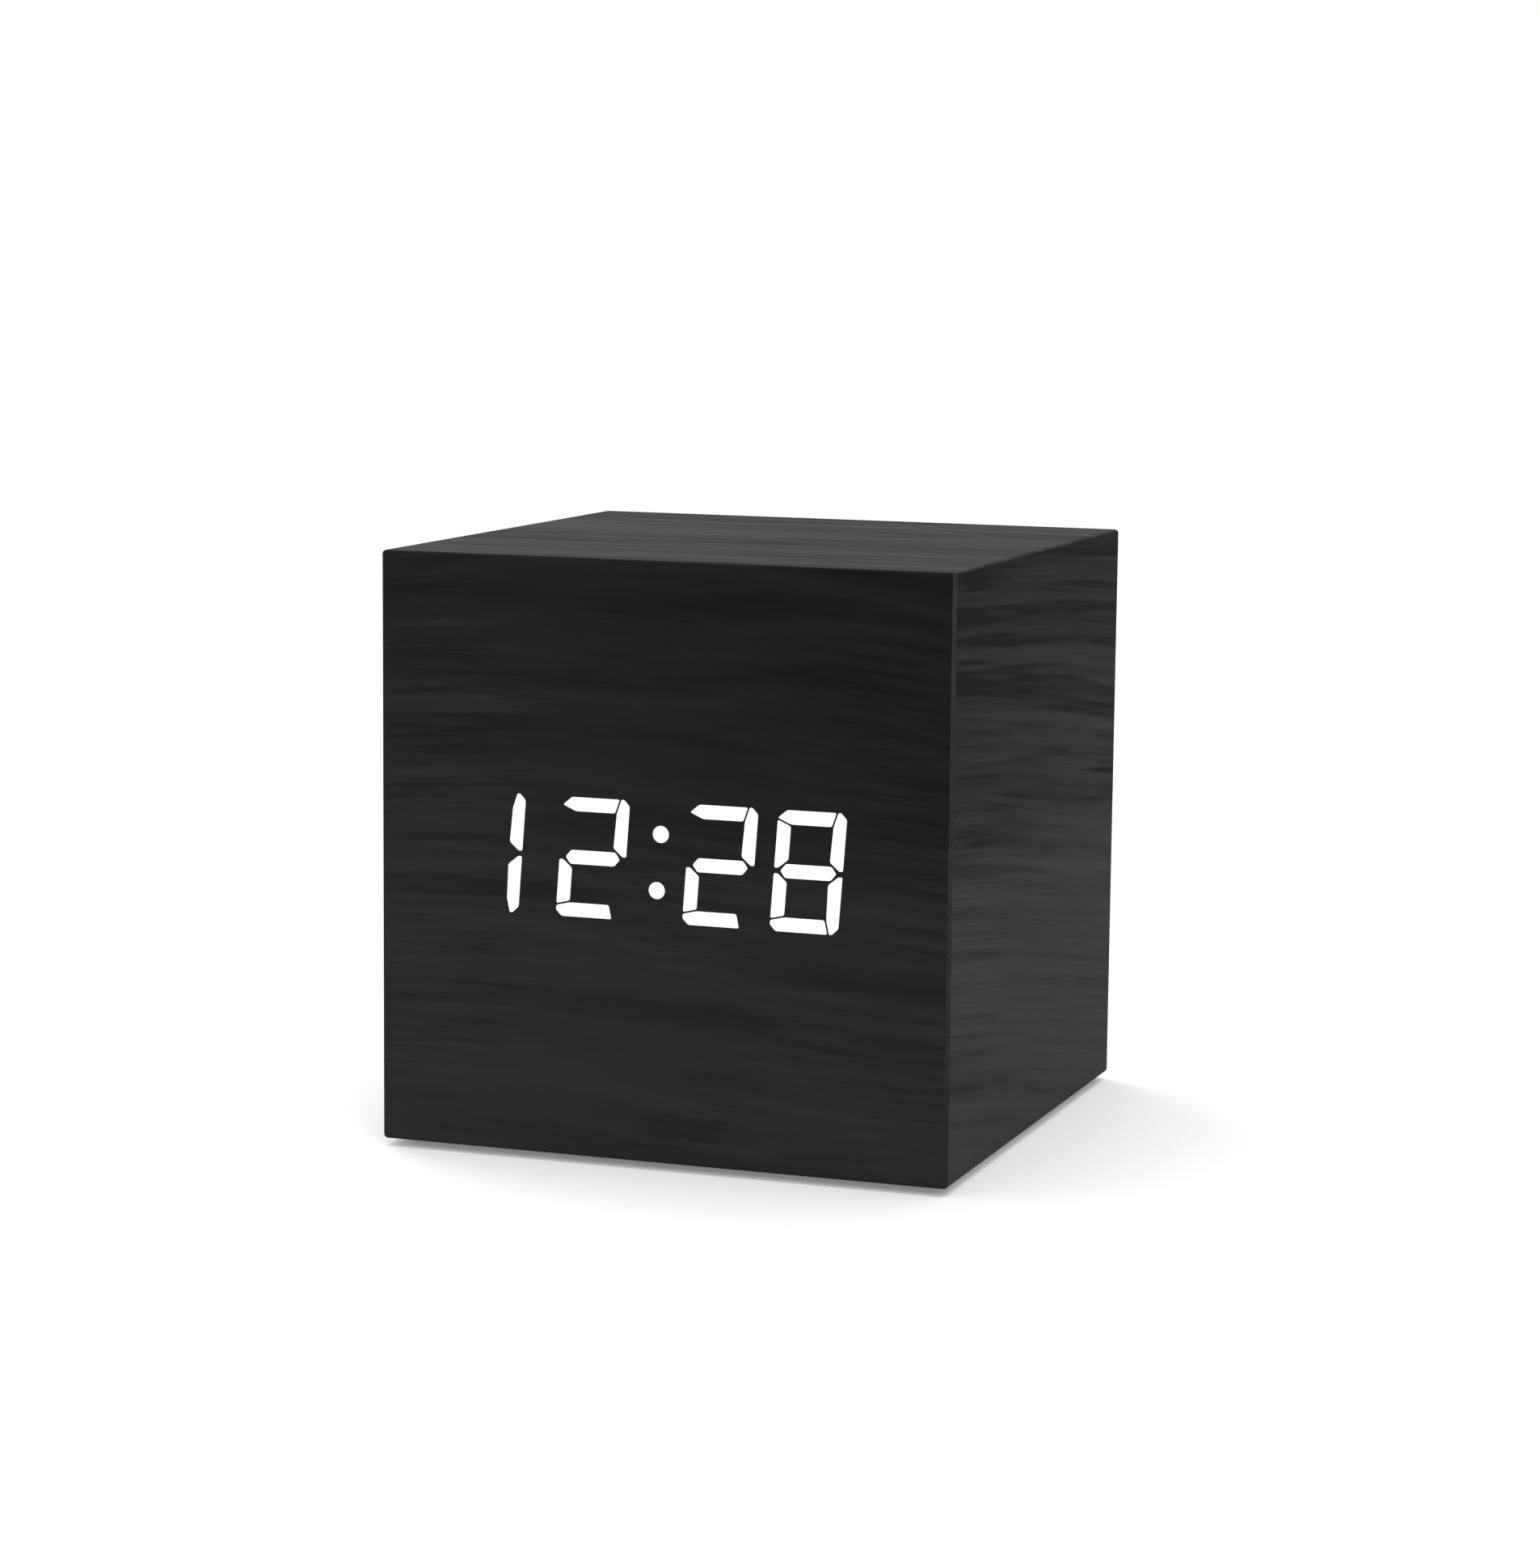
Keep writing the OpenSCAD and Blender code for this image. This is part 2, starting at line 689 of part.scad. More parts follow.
module segment_leds()
    color([0.98, 0.93, 0.6]) {
        for (place = [0:3], k = [0:6]) {
            at = leaning(segment_middles[k]);
            upright = has_letter(upright_segments, segment_names[k]);
            led_chip(figure_x[place] + at[0], figures_z + at[1], upright);
        }
        for (s = [-1, 1])
            led_chip(colon_x + s * colon_lean, figures_z + s * colon_gap / 2, false);
    }

module main_pcb()
    color([0.1, 0.36, 0.2]) difference() {
        box_between(
            [-main_w / 2, pcb_y, figures_z - main_h / 2],
            [main_w / 2, main_rear, figures_z + main_h / 2]
        );
        for (p = main_screws)
            facing_back(p[0], pcb_y - overcut, p[1])
                cylinder(d = screw_d + 2 * screw_room, h = pcb_t + 2 * overcut);
    }

module pcb_spacers()
    color([0.9, 0.9, 0.88])
        for (p = main_screws)
            difference() {
                facing_back(p[0], in_y, p[1]) cylinder(d = spacer_d, h = pcb_y - in_y);
                facing_back(p[0], in_y - overcut, p[1])
                    cylinder(d = screw_d + 2 * screw_room, h = pcb_y - in_y + 2 * overcut);
            }

module pcb_screws()
    color([0.75, 0.75, 0.76])
        for (p = main_screws)
            facing_back(p[0], main_rear, p[1]) screw(main_rear - in_y + pilot_depth - screw_spare);

module on_main(place) facing_back(place[0], main_rear, figures_z + place[1]) children();

// A chip with a row of pins along both long sides
module chip(size, pins) {
    pin_y = (size[1] + pin_size[1]) / 2;
    translate([0, 0, size[2] / 2]) cube(size, center = true);
    for (i = [0:pins - 1], s = [-1, 1])
        translate([((i + 0.5) / pins - 0.5) * size[0], s * pin_y, pin_size[2] / 2])
            cube(pin_size, center = true);
}

module microcontroller()
    color([0.12, 0.12, 0.13]) on_main(microcontroller_at) chip(microcontroller_size, microcontroller_pins);

module led_driver() color([0.12, 0.12, 0.13]) on_main(driver_at) chip(driver_size, driver_pins);

module chip_resistors()
    color([0.2, 0.2, 0.22])
        for (i = [0:resistor_count - 1])
            on_main(resistors_from + [i * resistor_step, 0])
                translate([0, 0, resistor_size[2] / 2]) cube(resistor_size, center = true);

module crystal()
    color([0.8, 0.8, 0.82])
        on_main(crystal_at) {
            translate([-crystal_l / 2, 0, crystal_d / 2 + crystal_rise]) rotate([0, 90, 0])
                cylinder(d = crystal_d, h = crystal_l);
            for (s = [-1, 1])
                translate([crystal_l / 2 - crystal_wire, s * crystal_d / 4 - crystal_wire / 2, 0])
                    cube([2 * crystal_wire, crystal_wire, crystal_d / 2]);
        }

module buzzer()
    color([0.1, 0.1, 0.1])
        on_main(buzzer_at) difference() {
            cylinder(d = buzzer_d, h = buzzer_h);
            translate([0, 0, buzzer_h - buzzer_hole[1]])
                cylinder(d = buzzer_hole[0], h = buzzer_hole[1] + overcut);
        }

module capacitors() {
    r = capacitor_d / 2;
    color([0.16, 0.2, 0.42])
        for (place = capacitors_at)
            on_main(place) rotate_extrude()
                polygon([
                    [0, 0], [r, 0], [r, groove_z - groove], [r - groove, groove_z], [r, groove_z + groove],
                    [r, capacitor_h - capacitor_edge], [r - capacitor_edge, capacitor_h], [0, capacitor_h]
                ]);
}

module coin_cell_holder()
    color([0.13, 0.13, 0.14])
        on_main(coin_at) difference() {
            cylinder(r = coin_cup_r, h = coin_base + coin_cup * coin_t);
            translate([0, 0, coin_base]) cylinder(d = coin_d + 2 * coin_room, h = coin_t);
        }

module coin_cell()
    color([0.82, 0.83, 0.84])
        on_main(coin_at) translate([0, 0, coin_base]) {
            cylinder(d = coin_d - 2 * coin_cap_inset, h = coin_step);
            translate([0, 0, coin_step]) cylinder(d = coin_d, h = coin_t - coin_step);
        }

module coin_cell_clip() {
    foot_x = coin_cup_r + clip_room;
    strap_z = coin_base + coin_t;
    color([0.8, 0.78, 0.7])
        on_main(coin_at) rotate([90, 0, 0]) translate([0, 0, -clip_w / 2]) linear_extrude(clip_w)
            polygon([
                [-foot_x - clip_t, 0], [-foot_x, 0], [-foot_x, strap_z], [foot_x, strap_z], [foot_x, 0],
                [foot_x + clip_t, 0], [foot_x + clip_t, strap_z + clip_t], [-foot_x - clip_t, strap_z + clip_t]
            ]);
}

module cable_plug()
    difference() {
        translate([-plug_size[0] / 2, -plug_size[2] / 2, 0]) cube([plug_size[0], plug_size[2], plug_size[1]]);
        for (s = [-1, 1])
            translate([s * plug_size[0] / 2 - plug_key[0] / 2, -plug_size[2] / 4, plug_size[1] - plug_key[1]])
                cube([plug_key[0], plug_size[2] / 2, plug_key[1] + overcut]);
    }

module cable_plugs()
    color([0.93, 0.92, 0.88]) {
        on_main(plug_at) cable_plug();
        facing_front(0, key_front, key_z) cable_plug();
    }

// The flat cable leaves both plugs square and sags between them
module ribbon_cable() {
    start = [main_rear + plug_size[1], figures_z + plug_at[1]];
    end = [key_front - plug_size[1], key_z];
    middle = [
        for (i = [0:ribbon_steps])
            let (t = i / ribbon_steps, s = 3 * t ^ 2 - 2 * t ^ 3, sag = ribbon_sag * sin(180 * t) ^ 2)
            [start[0] + t * (end[0] - start[0]), start[1] + s * (end[1] - start[1]) - sag]
    ];
    across = [
        for (i = [0:ribbon_steps])
            let (d = i == 0 || i == ribbon_steps ? [1, 0] : unit(middle[i + 1] - middle[i - 1]))
            [-d[1], d[0]] * ribbon_t / 2
    ];
    color([0.62, 0.63, 0.66])
        along_x(-ribbon_w / 2, ribbon_w / 2)
            polygon(concat(
                [for (i = [0:ribbon_steps]) middle[i] - across[i]],
                [for (i = [ribbon_steps:-1:0]) middle[i] + across[i]]
            ));
}

module panel_square(inset)
    translate([-in_x + inset, in_z0 + inset]) square([2 * (in_x - inset), in_z1 - in_z0 - 2 * inset]);

module back_panel()
    color([0.11, 0.11, 0.12]) difference() {
        union() {
            along_y(panel_in, panel_out) difference() {
                panel_square(panel_gap);
                translate([-open_x, open_z0]) square([2 * open_x, open_z1 - open_z0]);
                translate([-notch_half, notch_z]) square([2 * notch_half, open_z0 - notch_z + overcut]);
                translate([usb_x - usb_w / 2 - usb_gap, key_z - usb_h / 2 - usb_gap])
                    square([usb_w + 2 * usb_gap, usb_h + 2 * usb_gap]);
                for (s = [-1, 1], i = [-1:1])
                    translate([s * slot_x + i * slot_pitch, block_z[0]]) square(slot_size, center = true);
            }
            for (s = [-1, 1])
                facing_back(s * post_x, key_rear, key_z) cylinder(d = post_d, h = panel_in - key_rear);
        }
        for (s = [-1, 1])
            facing_back(s * post_x, key_rear - overcut, key_z)
                cylinder(d = screw_d + 2 * thread_room, h = post_hole + overcut);
        for (s = [-1, 1], z = block_z) {
            facing_back(s * block_mid, panel_in - overcut, z)
                cylinder(d = screw_d + 2 * screw_room, h = panel_t + 2 * overcut);
            facing_back(s * block_mid, panel_out - head_seat, z)
                cylinder(d = screw_head_d + 2 * screw_room, h = head_seat + overcut);
        }
        for (x = button_places)
            facing_back(x, panel_in - overcut, key_z)
                cylinder(d = button_d + 2 * button_gap, h = panel_t + 2 * overcut);
        for (s = [0, 1])
            mirror([s, 0, 0]) translate([open_x - overcut, hinge_y, hinge_z]) rotate([0, 90, 0])
                cylinder(d = peg_d + 2 * peg_gap, h = overcut + peg_l - door_gap + peg_end);
    }

module back_screws()
    color([0.3, 0.3, 0.31])
        for (s = [-1, 1], z = block_z)
            facing_back(s * block_mid, panel_out - head_seat, z) screw(back_screw_l);

module key_pcb()
    color([0.1, 0.36, 0.2]) difference() {
        box_between([-key_half, key_front, key_z - key_h / 2], [key_half, key_rear, key_z + key_h / 2]);
        for (s = [-1, 1])
            facing_back(s * post_x, key_front - overcut, key_z)
                cylinder(d = screw_d + 2 * screw_room, h = pcb_t + 2 * overcut);
    }

module key_pcb_screws()
    color([0.75, 0.75, 0.76])
        for (s = [-1, 1]) facing_front(s * post_x, key_front, key_z) screw(key_screw_l - screw_spare);

module switch_bases()
    color([0.13, 0.13, 0.14])
        for (x = button_places)
            facing_back(x, key_rear, key_z) difference() {
                translate([-switch_w / 2, -switch_w / 2, 0])
                    cube([switch_w, switch_w, switch_h - switch_cover_t]);
                translate([0, 0, switch_floor]) cylinder(d = switch_w - 2 * switch_side, h = switch_h);
            }

module switch_covers()
    color([0.8, 0.8, 0.8])
        for (x = button_places)
            facing_back(x, switch_top - switch_cover_t, key_z) difference() {
                translate([-switch_w / 2, -switch_w / 2, 0]) cube([switch_w, switch_w, switch_cover_t]);
                translate([0, 0, -overcut])
                    cylinder(d = plunger_d + 2 * plunger_gap, h = switch_cover_t + 2 * overcut);
            }

// A plunger with the foot that its switch's cover keeps in
module plunger(x) {
    foot_z = switch_cover_t + plunger_gap + plunger_foot_t;
    color([0.2, 0.2, 0.22])
        facing_back(x, switch_top - foot_z, key_z) {
            cylinder(d = plunger_d, h = foot_z + plunger_out);
            cylinder(d = (plunger_d + switch_w - 2 * switch_side) / 2, h = plunger_foot_t);
        }
}

module set_plunger() plunger(button_places[0]);

module up_plunger() plunger(button_places[1]);

module down_plunger() plunger(button_places[2]);

// A cap with its inner flange and a sunk mark on its face
module button_cap(x) {
    reach = panel_out + button_proud - lip_front;
    color([0.16, 0.16, 0.17])
        facing_back(x, lip_front, key_z) difference() {
            union() {
                cylinder(d = button_d, h = reach - cap_edge);
                translate([0, 0, reach - cap_edge])
                    cylinder(d1 = button_d, d2 = button_d - 2 * cap_edge, h = cap_edge);
                cylinder(d = button_d + 2 * button_lip, h = button_lip_t);
            }
            translate([0, 0, reach - mark_depth]) linear_extrude(mark_depth + overcut) children();
        }
}

module arrow_mark(way)
    polygon([[-arrow_half, arrow_back * way], [arrow_half, arrow_back * way], [0, -arrow_tip * way]]);

module set_button() button_cap(button_places[0]) circle(d = dot_d);

module up_button() button_cap(button_places[1]) arrow_mark(1);

module down_button() button_cap(button_places[2]) arrow_mark(-1);

// The socket's section, narrower below its shoulders
module socket_section(inset) {
    w = usb_w / 2 - inset;
    h = usb_h / 2 - inset;
    polygon([
        [-w, h], [-w, usb_shoulder], [-w + usb_chamfer, -h], [w - usb_chamfer, -h], [w, usb_shoulder], [w, h]
    ]);
}

module usb_shell()
    color([0.82, 0.82, 0.83])
        translate([usb_x, 0, key_z])
            along_y(key_rear, usb_mouth) difference() {
                socket_section(0);
                socket_section(usb_sheet);
            }

module usb_insert()
    color([0.12, 0.12, 0.12])
        translate([usb_x, 0, key_z]) {
            along_y(key_rear, key_rear + usb_back) socket_section(usb_sheet);
            along_y(key_rear + usb_back, usb_mouth - usb_tongue_short) square(usb_tongue, center = true);
        }

module tail_slot(x0, x1, z, room)
    box_between(
        [x0, cell_y - tail_y - room, z + tail_rise - room],
        [x1, cell_y + tail_y + room, z + tail_rise + tail_t + room]
    );

module battery_tray()
    color([0.12, 0.12, 0.13]) {
        difference() {
            union() {
                box_between(
                    [-tray_half - tray_wall, tray_y, tray_z0],
                    [tray_half + tray_wall, panel_in, tray_z1]
                );
                box_between(
                    [-tray_half - tray_wall - tray_rim, panel_in - tray_rim_t, tray_z0],
                    [tray_half + tray_wall + tray_rim, panel_in, tray_z1]
                );
            }
            box_between([-tray_half, tray_in_y, tray_in_z0], [tray_half, panel_in + overcut, tray_in_z1]);
            tail_slot(tray_half - overcut, tray_half + tray_wall + overcut, cell_z[cells - 1], tail_room);
            tail_slot(-tray_half - tray_wall - overcut, -tray_half + overcut, cell_z[0], tail_room);
        }
        for (i = [1:cells - 1])
            translate([-rib_l / 2, tray_in_y, (cell_z[i - 1] + cell_z[i] - rib_size[0]) / 2])
                cube([rib_l, rib_size[1], rib_size[0]]);
    }

// The cells lie head to tail: the lowest and the uppermost have their nubs on the right
function cell_way(i) = (cells - 1 - i) % 2 == 0 ? 1 : -1;

module battery_cells()
    color([0.2, 0.42, 0.3])
        for (i = [0:cells - 1])
            translate([cell_way(i) * (tray_half - plate_t), cell_y, cell_z[i]])
                rotate([0, -90 * cell_way(i), 0]) {
                    cylinder(d = nub_d, h = nub_l);
                    rotate_extrude()
                        polygon([
                            [0, nub_l], [cell_d / 2 - cell_edge, nub_l], [cell_d / 2, nub_l + cell_edge],
                            [cell_d / 2, cell_l - cell_edge], [cell_d / 2 - cell_edge, cell_l], [0, cell_l]
                        ]);
                }

// A plate on the wall at side s, behind the cells from low to high
module contact_plate(s, low, high)
    box_between(
        [s > 0 ? tray_half - plate_t : -tray_half, cell_y - plate_half, cell_z[low] - plate_half],
        [s > 0 ? tray_half : -tray_half + plate_t, cell_y + plate_half, cell_z[high] + plate_half]
    );

module contact_plates()
    color([0.83, 0.83, 0.8]) {
        contact_plate(1, 2, 2);
        contact_plate(1, 0, 1);
        contact_plate(-1, 1, 2);
        contact_plate(-1, 0, 0);
        tail_slot(tray_half - plate_t / 2, tray_half + tray_wall + tail_out, cell_z[2], 0);
        tail_slot(-tray_half - tray_wall - tail_out, -tray_half + plate_t / 2, cell_z[0], 0);
    }

// A spring narrows from its plate to the flat end of its cell
spring_path = [
    for (i = [0:spring_turns * spring_rings])
        let (
            t = i / (spring_turns * spring_rings), a = 360 * spring_turns * t,
            r = (spring_base_d + t * (spring_tip_d - spring_base_d)) / 2
        )
        [spring_wire / 2 + t * (spring_l - spring_wire), r * cos(a), r * sin(a)]
];
echo(spring_least_gap = least_gap(spring_path, spring_wire, spring_rings / 2));

module battery_springs()
    color([0.85, 0.85, 0.84])
        for (i = [0:cells - 1])
            translate([-cell_way(i) * (tray_half - plate_t), cell_y, cell_z[i]])
                rotate([0, 0, cell_way(i) > 0 ? 0 : 180])
                    tube(spring_path, spring_wire, spring_sides, [1, 0, 0]);

// A lead rises from a plate's tail past the tray and bends in to a pad on the key board
module lead(s, i) {
    tail = [lead_x, cell_y, cell_z[i] + tail_rise + tail_t];
    turn = [lead_x, cell_y, tray_z1 + lead_over];
    pad = [lead_pad_x, key_front, key_z];
    bends = concat(
        [turn - [0, 0, lead_rise], turn], [for (p = turn_bends) turn + p], [for (p = pad_bends) pad + p], [pad]
    );
    path = concat([tail], smooth_route(bends, lead_steps));
    tube([for (p = path) [s * p[0], p[1], p[2]]], lead_d, lead_sides, [0, 1, 0.2]);
}

module red_wire() color([0.75, 0.08, 0.08]) lead(1, 2);

module black_wire() color([0.06, 0.06, 0.06]) lead(-1, 0);

module battery_door()
    color([0.12, 0.12, 0.13]) difference() {
        union() {
            box_between([-door_half, panel_out - door_t, door_z0], [door_half, panel_out, hinge_z]);
            translate([-door_half, hinge_y, hinge_z]) rotate([0, 90, 0])
                cylinder(d = barrel_d, h = 2 * door_half);
            translate([-door_half - peg_l, hinge_y, hinge_z]) rotate([0, 90, 0])
                cylinder(d = peg_d, h = 2 * (door_half + peg_l));
            for (s = [-1, 1])
                box_between(
                    [s * (door_half - door_rib / 2) - door_rib / 2, panel_in + door_gap, door_z0 + door_rib],
                    [s * (door_half - door_rib / 2) + door_rib / 2, panel_out - door_t / 2, hinge_z - barrel_d]
                );
        }
        for (i = [1:grip_count])
            translate([-grip_size[0] / 2, panel_out - grip_size[2], door_z0 + i * grip_pitch])
                cube([grip_size[0], grip_size[2] + overcut, grip_size[1]]);
    }

module door_latch()
    color([0.12, 0.12, 0.13])
        along_x(-latch_w / 2, latch_w / 2)
            polygon([
                [latch_web, door_z0], [latch_web + latch_t, door_z0],
                [latch_web + latch_t, latch_z1 - latch_t],
                [latch_in + latch_t, latch_z1 - latch_t], [latch_in + latch_t, latch_z0 + latch_t],
                [latch_out - latch_t, latch_z0 + latch_t], [latch_out - latch_t, latch_z0 + 2 * latch_t],
                [latch_out, latch_z0 + 2 * latch_t], [latch_out, latch_z0], [tooth_y, latch_z0],
                [tooth_y, latch_z0 - tooth], [tooth_y - tooth_l, latch_z0], [latch_in, latch_z0],
                [latch_in, latch_z1], [latch_web, latch_z1]
            ]);

front_film();
wrap_film();
front_board();
top_board();
bottom_board();
left_board();
right_board();
corner_blocks();
feet();
lit_segments();
diffuser_sheet();
reflector_housing();
segment_lenses();
segment_leds();
main_pcb();
pcb_spacers();
pcb_screws();
microcontroller();
led_driver();
chip_resistors();
crystal();
buzzer();
capacitors();
coin_cell_holder();
coin_cell();
coin_cell_clip();
cable_plugs();
ribbon_cable();
back_panel();
back_screws();
key_pcb();
key_pcb_screws();
switch_bases();
switch_covers();
set_plunger();
up_plunger();
down_plunger();
set_button();
up_button();
down_button();
usb_shell();
usb_insert();
battery_tray();
battery_cells();
contact_plates();
battery_springs();
red_wire();
black_wire();
battery_door();
door_latch();
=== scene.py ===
import math

import bmesh
import bpy
from mathutils import Matrix, Vector


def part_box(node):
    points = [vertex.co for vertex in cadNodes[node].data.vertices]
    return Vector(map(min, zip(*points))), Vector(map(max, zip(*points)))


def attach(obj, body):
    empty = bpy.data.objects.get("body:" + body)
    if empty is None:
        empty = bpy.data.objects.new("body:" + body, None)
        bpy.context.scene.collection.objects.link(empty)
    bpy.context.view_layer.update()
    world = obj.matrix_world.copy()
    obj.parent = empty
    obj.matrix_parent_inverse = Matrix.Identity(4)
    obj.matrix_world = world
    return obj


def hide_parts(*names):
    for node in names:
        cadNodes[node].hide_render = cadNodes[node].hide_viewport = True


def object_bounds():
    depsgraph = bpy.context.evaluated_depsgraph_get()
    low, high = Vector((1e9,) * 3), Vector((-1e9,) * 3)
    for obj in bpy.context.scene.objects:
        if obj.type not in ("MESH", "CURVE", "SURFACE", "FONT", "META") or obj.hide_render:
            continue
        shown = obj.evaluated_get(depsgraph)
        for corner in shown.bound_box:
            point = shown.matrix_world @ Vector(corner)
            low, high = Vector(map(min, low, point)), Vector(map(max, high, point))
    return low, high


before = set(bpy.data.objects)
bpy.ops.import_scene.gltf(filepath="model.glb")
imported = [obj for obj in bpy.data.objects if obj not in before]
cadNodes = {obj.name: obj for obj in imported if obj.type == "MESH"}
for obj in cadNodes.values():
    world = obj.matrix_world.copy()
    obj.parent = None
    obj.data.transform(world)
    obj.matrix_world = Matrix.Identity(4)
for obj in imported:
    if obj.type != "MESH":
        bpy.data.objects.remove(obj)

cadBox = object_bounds()
mm = 0.001
quarterTurn = math.pi / 2
weld = 1e-7  # points closer than this are one
facing = 0.99  # a face looks along an axis if its normal has this share of it
noiseMean = 0.5
noiseSpan = (0.3, 0.7)  # most of a noise's values
print("frame loaded:", len(cadNodes), "nodes")


# small helpers for node trees
def addNode(tree, kind, inputs=None, **settings):
    node = tree.nodes.new(kind)
    for name, value in settings.items():
        setattr(node, name, value)
    for key, value in (inputs or {}).items():
        if isinstance(value, bpy.types.NodeSocket):
            tree.links.new(value, node.inputs[key])
        else:
            node.inputs[key].default_value = value
    return node


# a node in the tree of the sockets that feed it
def nodeAfter(kind, inputs, **settings):
    sockets = [value for value in inputs.values() if isinstance(value, bpy.types.NodeSocket)]
    return addNode(sockets[0].id_data, kind, inputs, **settings)


def outputOf(kind, inputs, **settings):
    return nodeAfter(kind, inputs, **settings).outputs[0]


def feed(sockets, **sources):
    for label, source in sources.items():
        source.id_data.links.new(source, sockets[label.replace("_", " ")])


def calc(operation, a, b=0.0):
    return outputOf("ShaderNodeMath", {0: a, 1: b}, operation=operation)


def plus(total, *others):
    for other in others:
        total = calc("ADD", total, other)
    return total


def times(total, *others):
    for other in others:
        total = calc("MULTIPLY", total, other)
    return total


def minus(a, b):
    return calc("SUBTRACT", a, b)


def spread(value, low, high, toLow=0.0, toHigh=1.0):
    inputs = {"Value": value, "From Min": low, "From Max": high, "To Min": toLow, "To Max": toHigh}
    return outputOf("ShaderNodeMapRange", inputs)


def ramp(share, ends):
    return spread(share, 0.0, 1.0, *ends)


# a colour mix has its two colours on sockets 6 and 7, and its result on 2
def mixColour(factor, a, b):
    return nodeAfter("ShaderNodeMix", {0: factor, 6: a, 7: b}, data_type="RGBA").outputs[2]


def noise(vector, scale, detail=2.0, roughness=0.5):
    inputs = {"Vector": vector, "Scale": scale, "Detail": detail, "Roughness": roughness}
    return nodeAfter("ShaderNodeTexNoise", inputs).outputs["Fac"]


def parted(vector):
    return nodeAfter("ShaderNodeSeparateXYZ", {0: vector}).outputs


def joined(parts):
    return outputOf("ShaderNodeCombineXYZ", parts)


def scaled(parts, factors):
    return [times(part, factor) for part, factor in zip(parts, factors)]


def stretched(parts, factors):
    return joined(dict(enumerate(scaled(parts, factors))))


def terminals(tree):
    return tree.nodes.new("NodeGroupInput").outputs, tree.nodes.new("NodeGroupOutput").inputs


def newGroup(name, inputs, outputs):
    group = bpy.data.node_groups.new(name, "ShaderNodeTree")
    for label, value in inputs.items():
        kind = "NodeSocketVector" if value is None else "NodeSocketFloat"
        socket = group.interface.new_socket(label, in_out="INPUT", socket_type=kind)
        if value is not None:
            socket.default_value = value
    for label in outputs:
        group.interface.new_socket(label, in_out="OUTPUT", socket_type="NodeSocketFloat")
    return group, *terminals(group)


# grain of the wood film: streaks along X that wander and bow, plain patches between them, short
# dark pores, and broad dark figure, strongest near the top; painted light makes the sheet paler
# towards its foot and one side
grainLook = {
    "waves": (16.0, 30.0, 30.0), "waveDetail": 1.5,
    "layers": {"fine": (1.0, 1.0), "band": (0.35, 0.2), "pore": (2.4, 2.2), "figure": (1.1, 0.5)},
    "detail": 3.0, "roughness": 0.55,
    "patches": 55.0, "patchDetail": 1.0, "patchEdge": (0.42, 0.62), "plainest": 0.15,
    "fine": 1.5, "pores": 0.2, "poreEdge": (0.6, 0.74), "poreDepth": 0.5,
    "figure": 0.45, "figureEdge": (0.5, 0.64), "shade": 0.2,
    "figureRise": (30.0 * mm, 37.0 * mm), "figureBelow": 0.3,
    "sheetX": (-31.0 * mm, 31.0 * mm), "sheetZ": (0.0, 63.0 * mm), "paintedGradient": (0.5, -0.5),
}


def makeWoodGrain():
    inputs = {"Vector": None, "Along": 60.0, "Across": 1500.0, "Wander": 0.0025, "Slope": 0.0,
              "Fan": 0.0, "Bow": 0.0, "Figure": 0.0, "Level": 0.5, "Fade": 0.0, "Lean": 0.0,
              "Contrast": 1.0}
    group, given, result = newGroup("woodGrain", inputs, ("Tone", "Height"))
    look = grainLook
    x, y, z = parted(given["Vector"])
    wave = noise(stretched((x, y, z), look["waves"]), 1.0, look["waveDetail"])
    bend = times(minus(wave, noiseMean), given["Wander"])
    slope = plus(given["Slope"], times(z, given["Fan"]), times(x, z, given["Bow"]))
    bent = (x, plus(y, bend), plus(z, bend, times(x, slope)))
    run = scaled(bent, (given["Along"], given["Across"], given["Across"]))
    layers = {}
    for layer, (lengthwise, crosswise) in look["layers"].items():
        at = stretched(run, (lengthwise, crosswise, crosswise))
        layers[layer] = noise(at, 1.0, look["detail"], look["roughness"])
    patches = noise(given["Vector"], look["patches"], look["patchDetail"])
    streaky = spread(patches, *look["patchEdge"], look["plainest"], 1.0)
    fine = times(minus(layers["fine"], noiseMean), streaky, look["fine"])
    band = minus(layers["band"], noiseMean)
    pores = times(spread(layers["pore"], *look["poreEdge"]), streaky)
    raised = spread(z, *look["figureRise"], look["figureBelow"], 1.0)
    nearTop = times(raised, given["Figure"])
    figure = times(spread(layers["figure"], *look["figureEdge"]), nearTop)
    marks = plus(times(pores, look["pores"]), times(figure, look["figure"]),
                 times(nearTop, look["shade"]))
    lines = minus(plus(fine, band), marks)
    # painted light: the tone is made paler towards the foot and towards -X
    paintedGradient = times(spread(z, *look["sheetZ"], *look["paintedGradient"]), given["Fade"])
    paintedSideGradient = times(spread(x, *look["sheetX"], *look["paintedGradient"]), given["Lean"])
    tone = plus(times(lines, given["Contrast"]), given["Level"], paintedGradient, paintedSideGradient)
    height = minus(layers["fine"], times(pores, look["poreDepth"]))
    feed(result, Tone=spread(tone, 0.0, 1.0), Height=height)
    return group


# fine pitting of a spark-eroded mould, with a slow change in gloss
mouldLook = {"roughness": 0.6, "slowness": 0.02, "pitShare": 0.6, "slowShare": 0.4}


def makeMouldGrain():
    inputs = {"Vector": None, "Pits": 5200.0}
    group, given, result = newGroup("mouldGrain", inputs, ("Height", "Gloss", "Tone"))
    pits = noise(given["Vector"], given["Pits"], roughness=mouldLook["roughness"])
    slow = noise(given["Vector"], times(given["Pits"], mouldLook["slowness"]))
    mixed = plus(times(pits, mouldLook["pitShare"]), times(slow, mouldLook["slowShare"]))
    feed(result, Height=pits, Gloss=spread(slow, *noiseSpan), Tone=spread(mixed, *noiseSpan))
    return group


# rolling lines and dull spots on sheet metal and wire
rolledLook = {"detail": 3.0, "roughness": 0.6, "spots": 420.0, "spotEdge": (0.4, 0.7)}


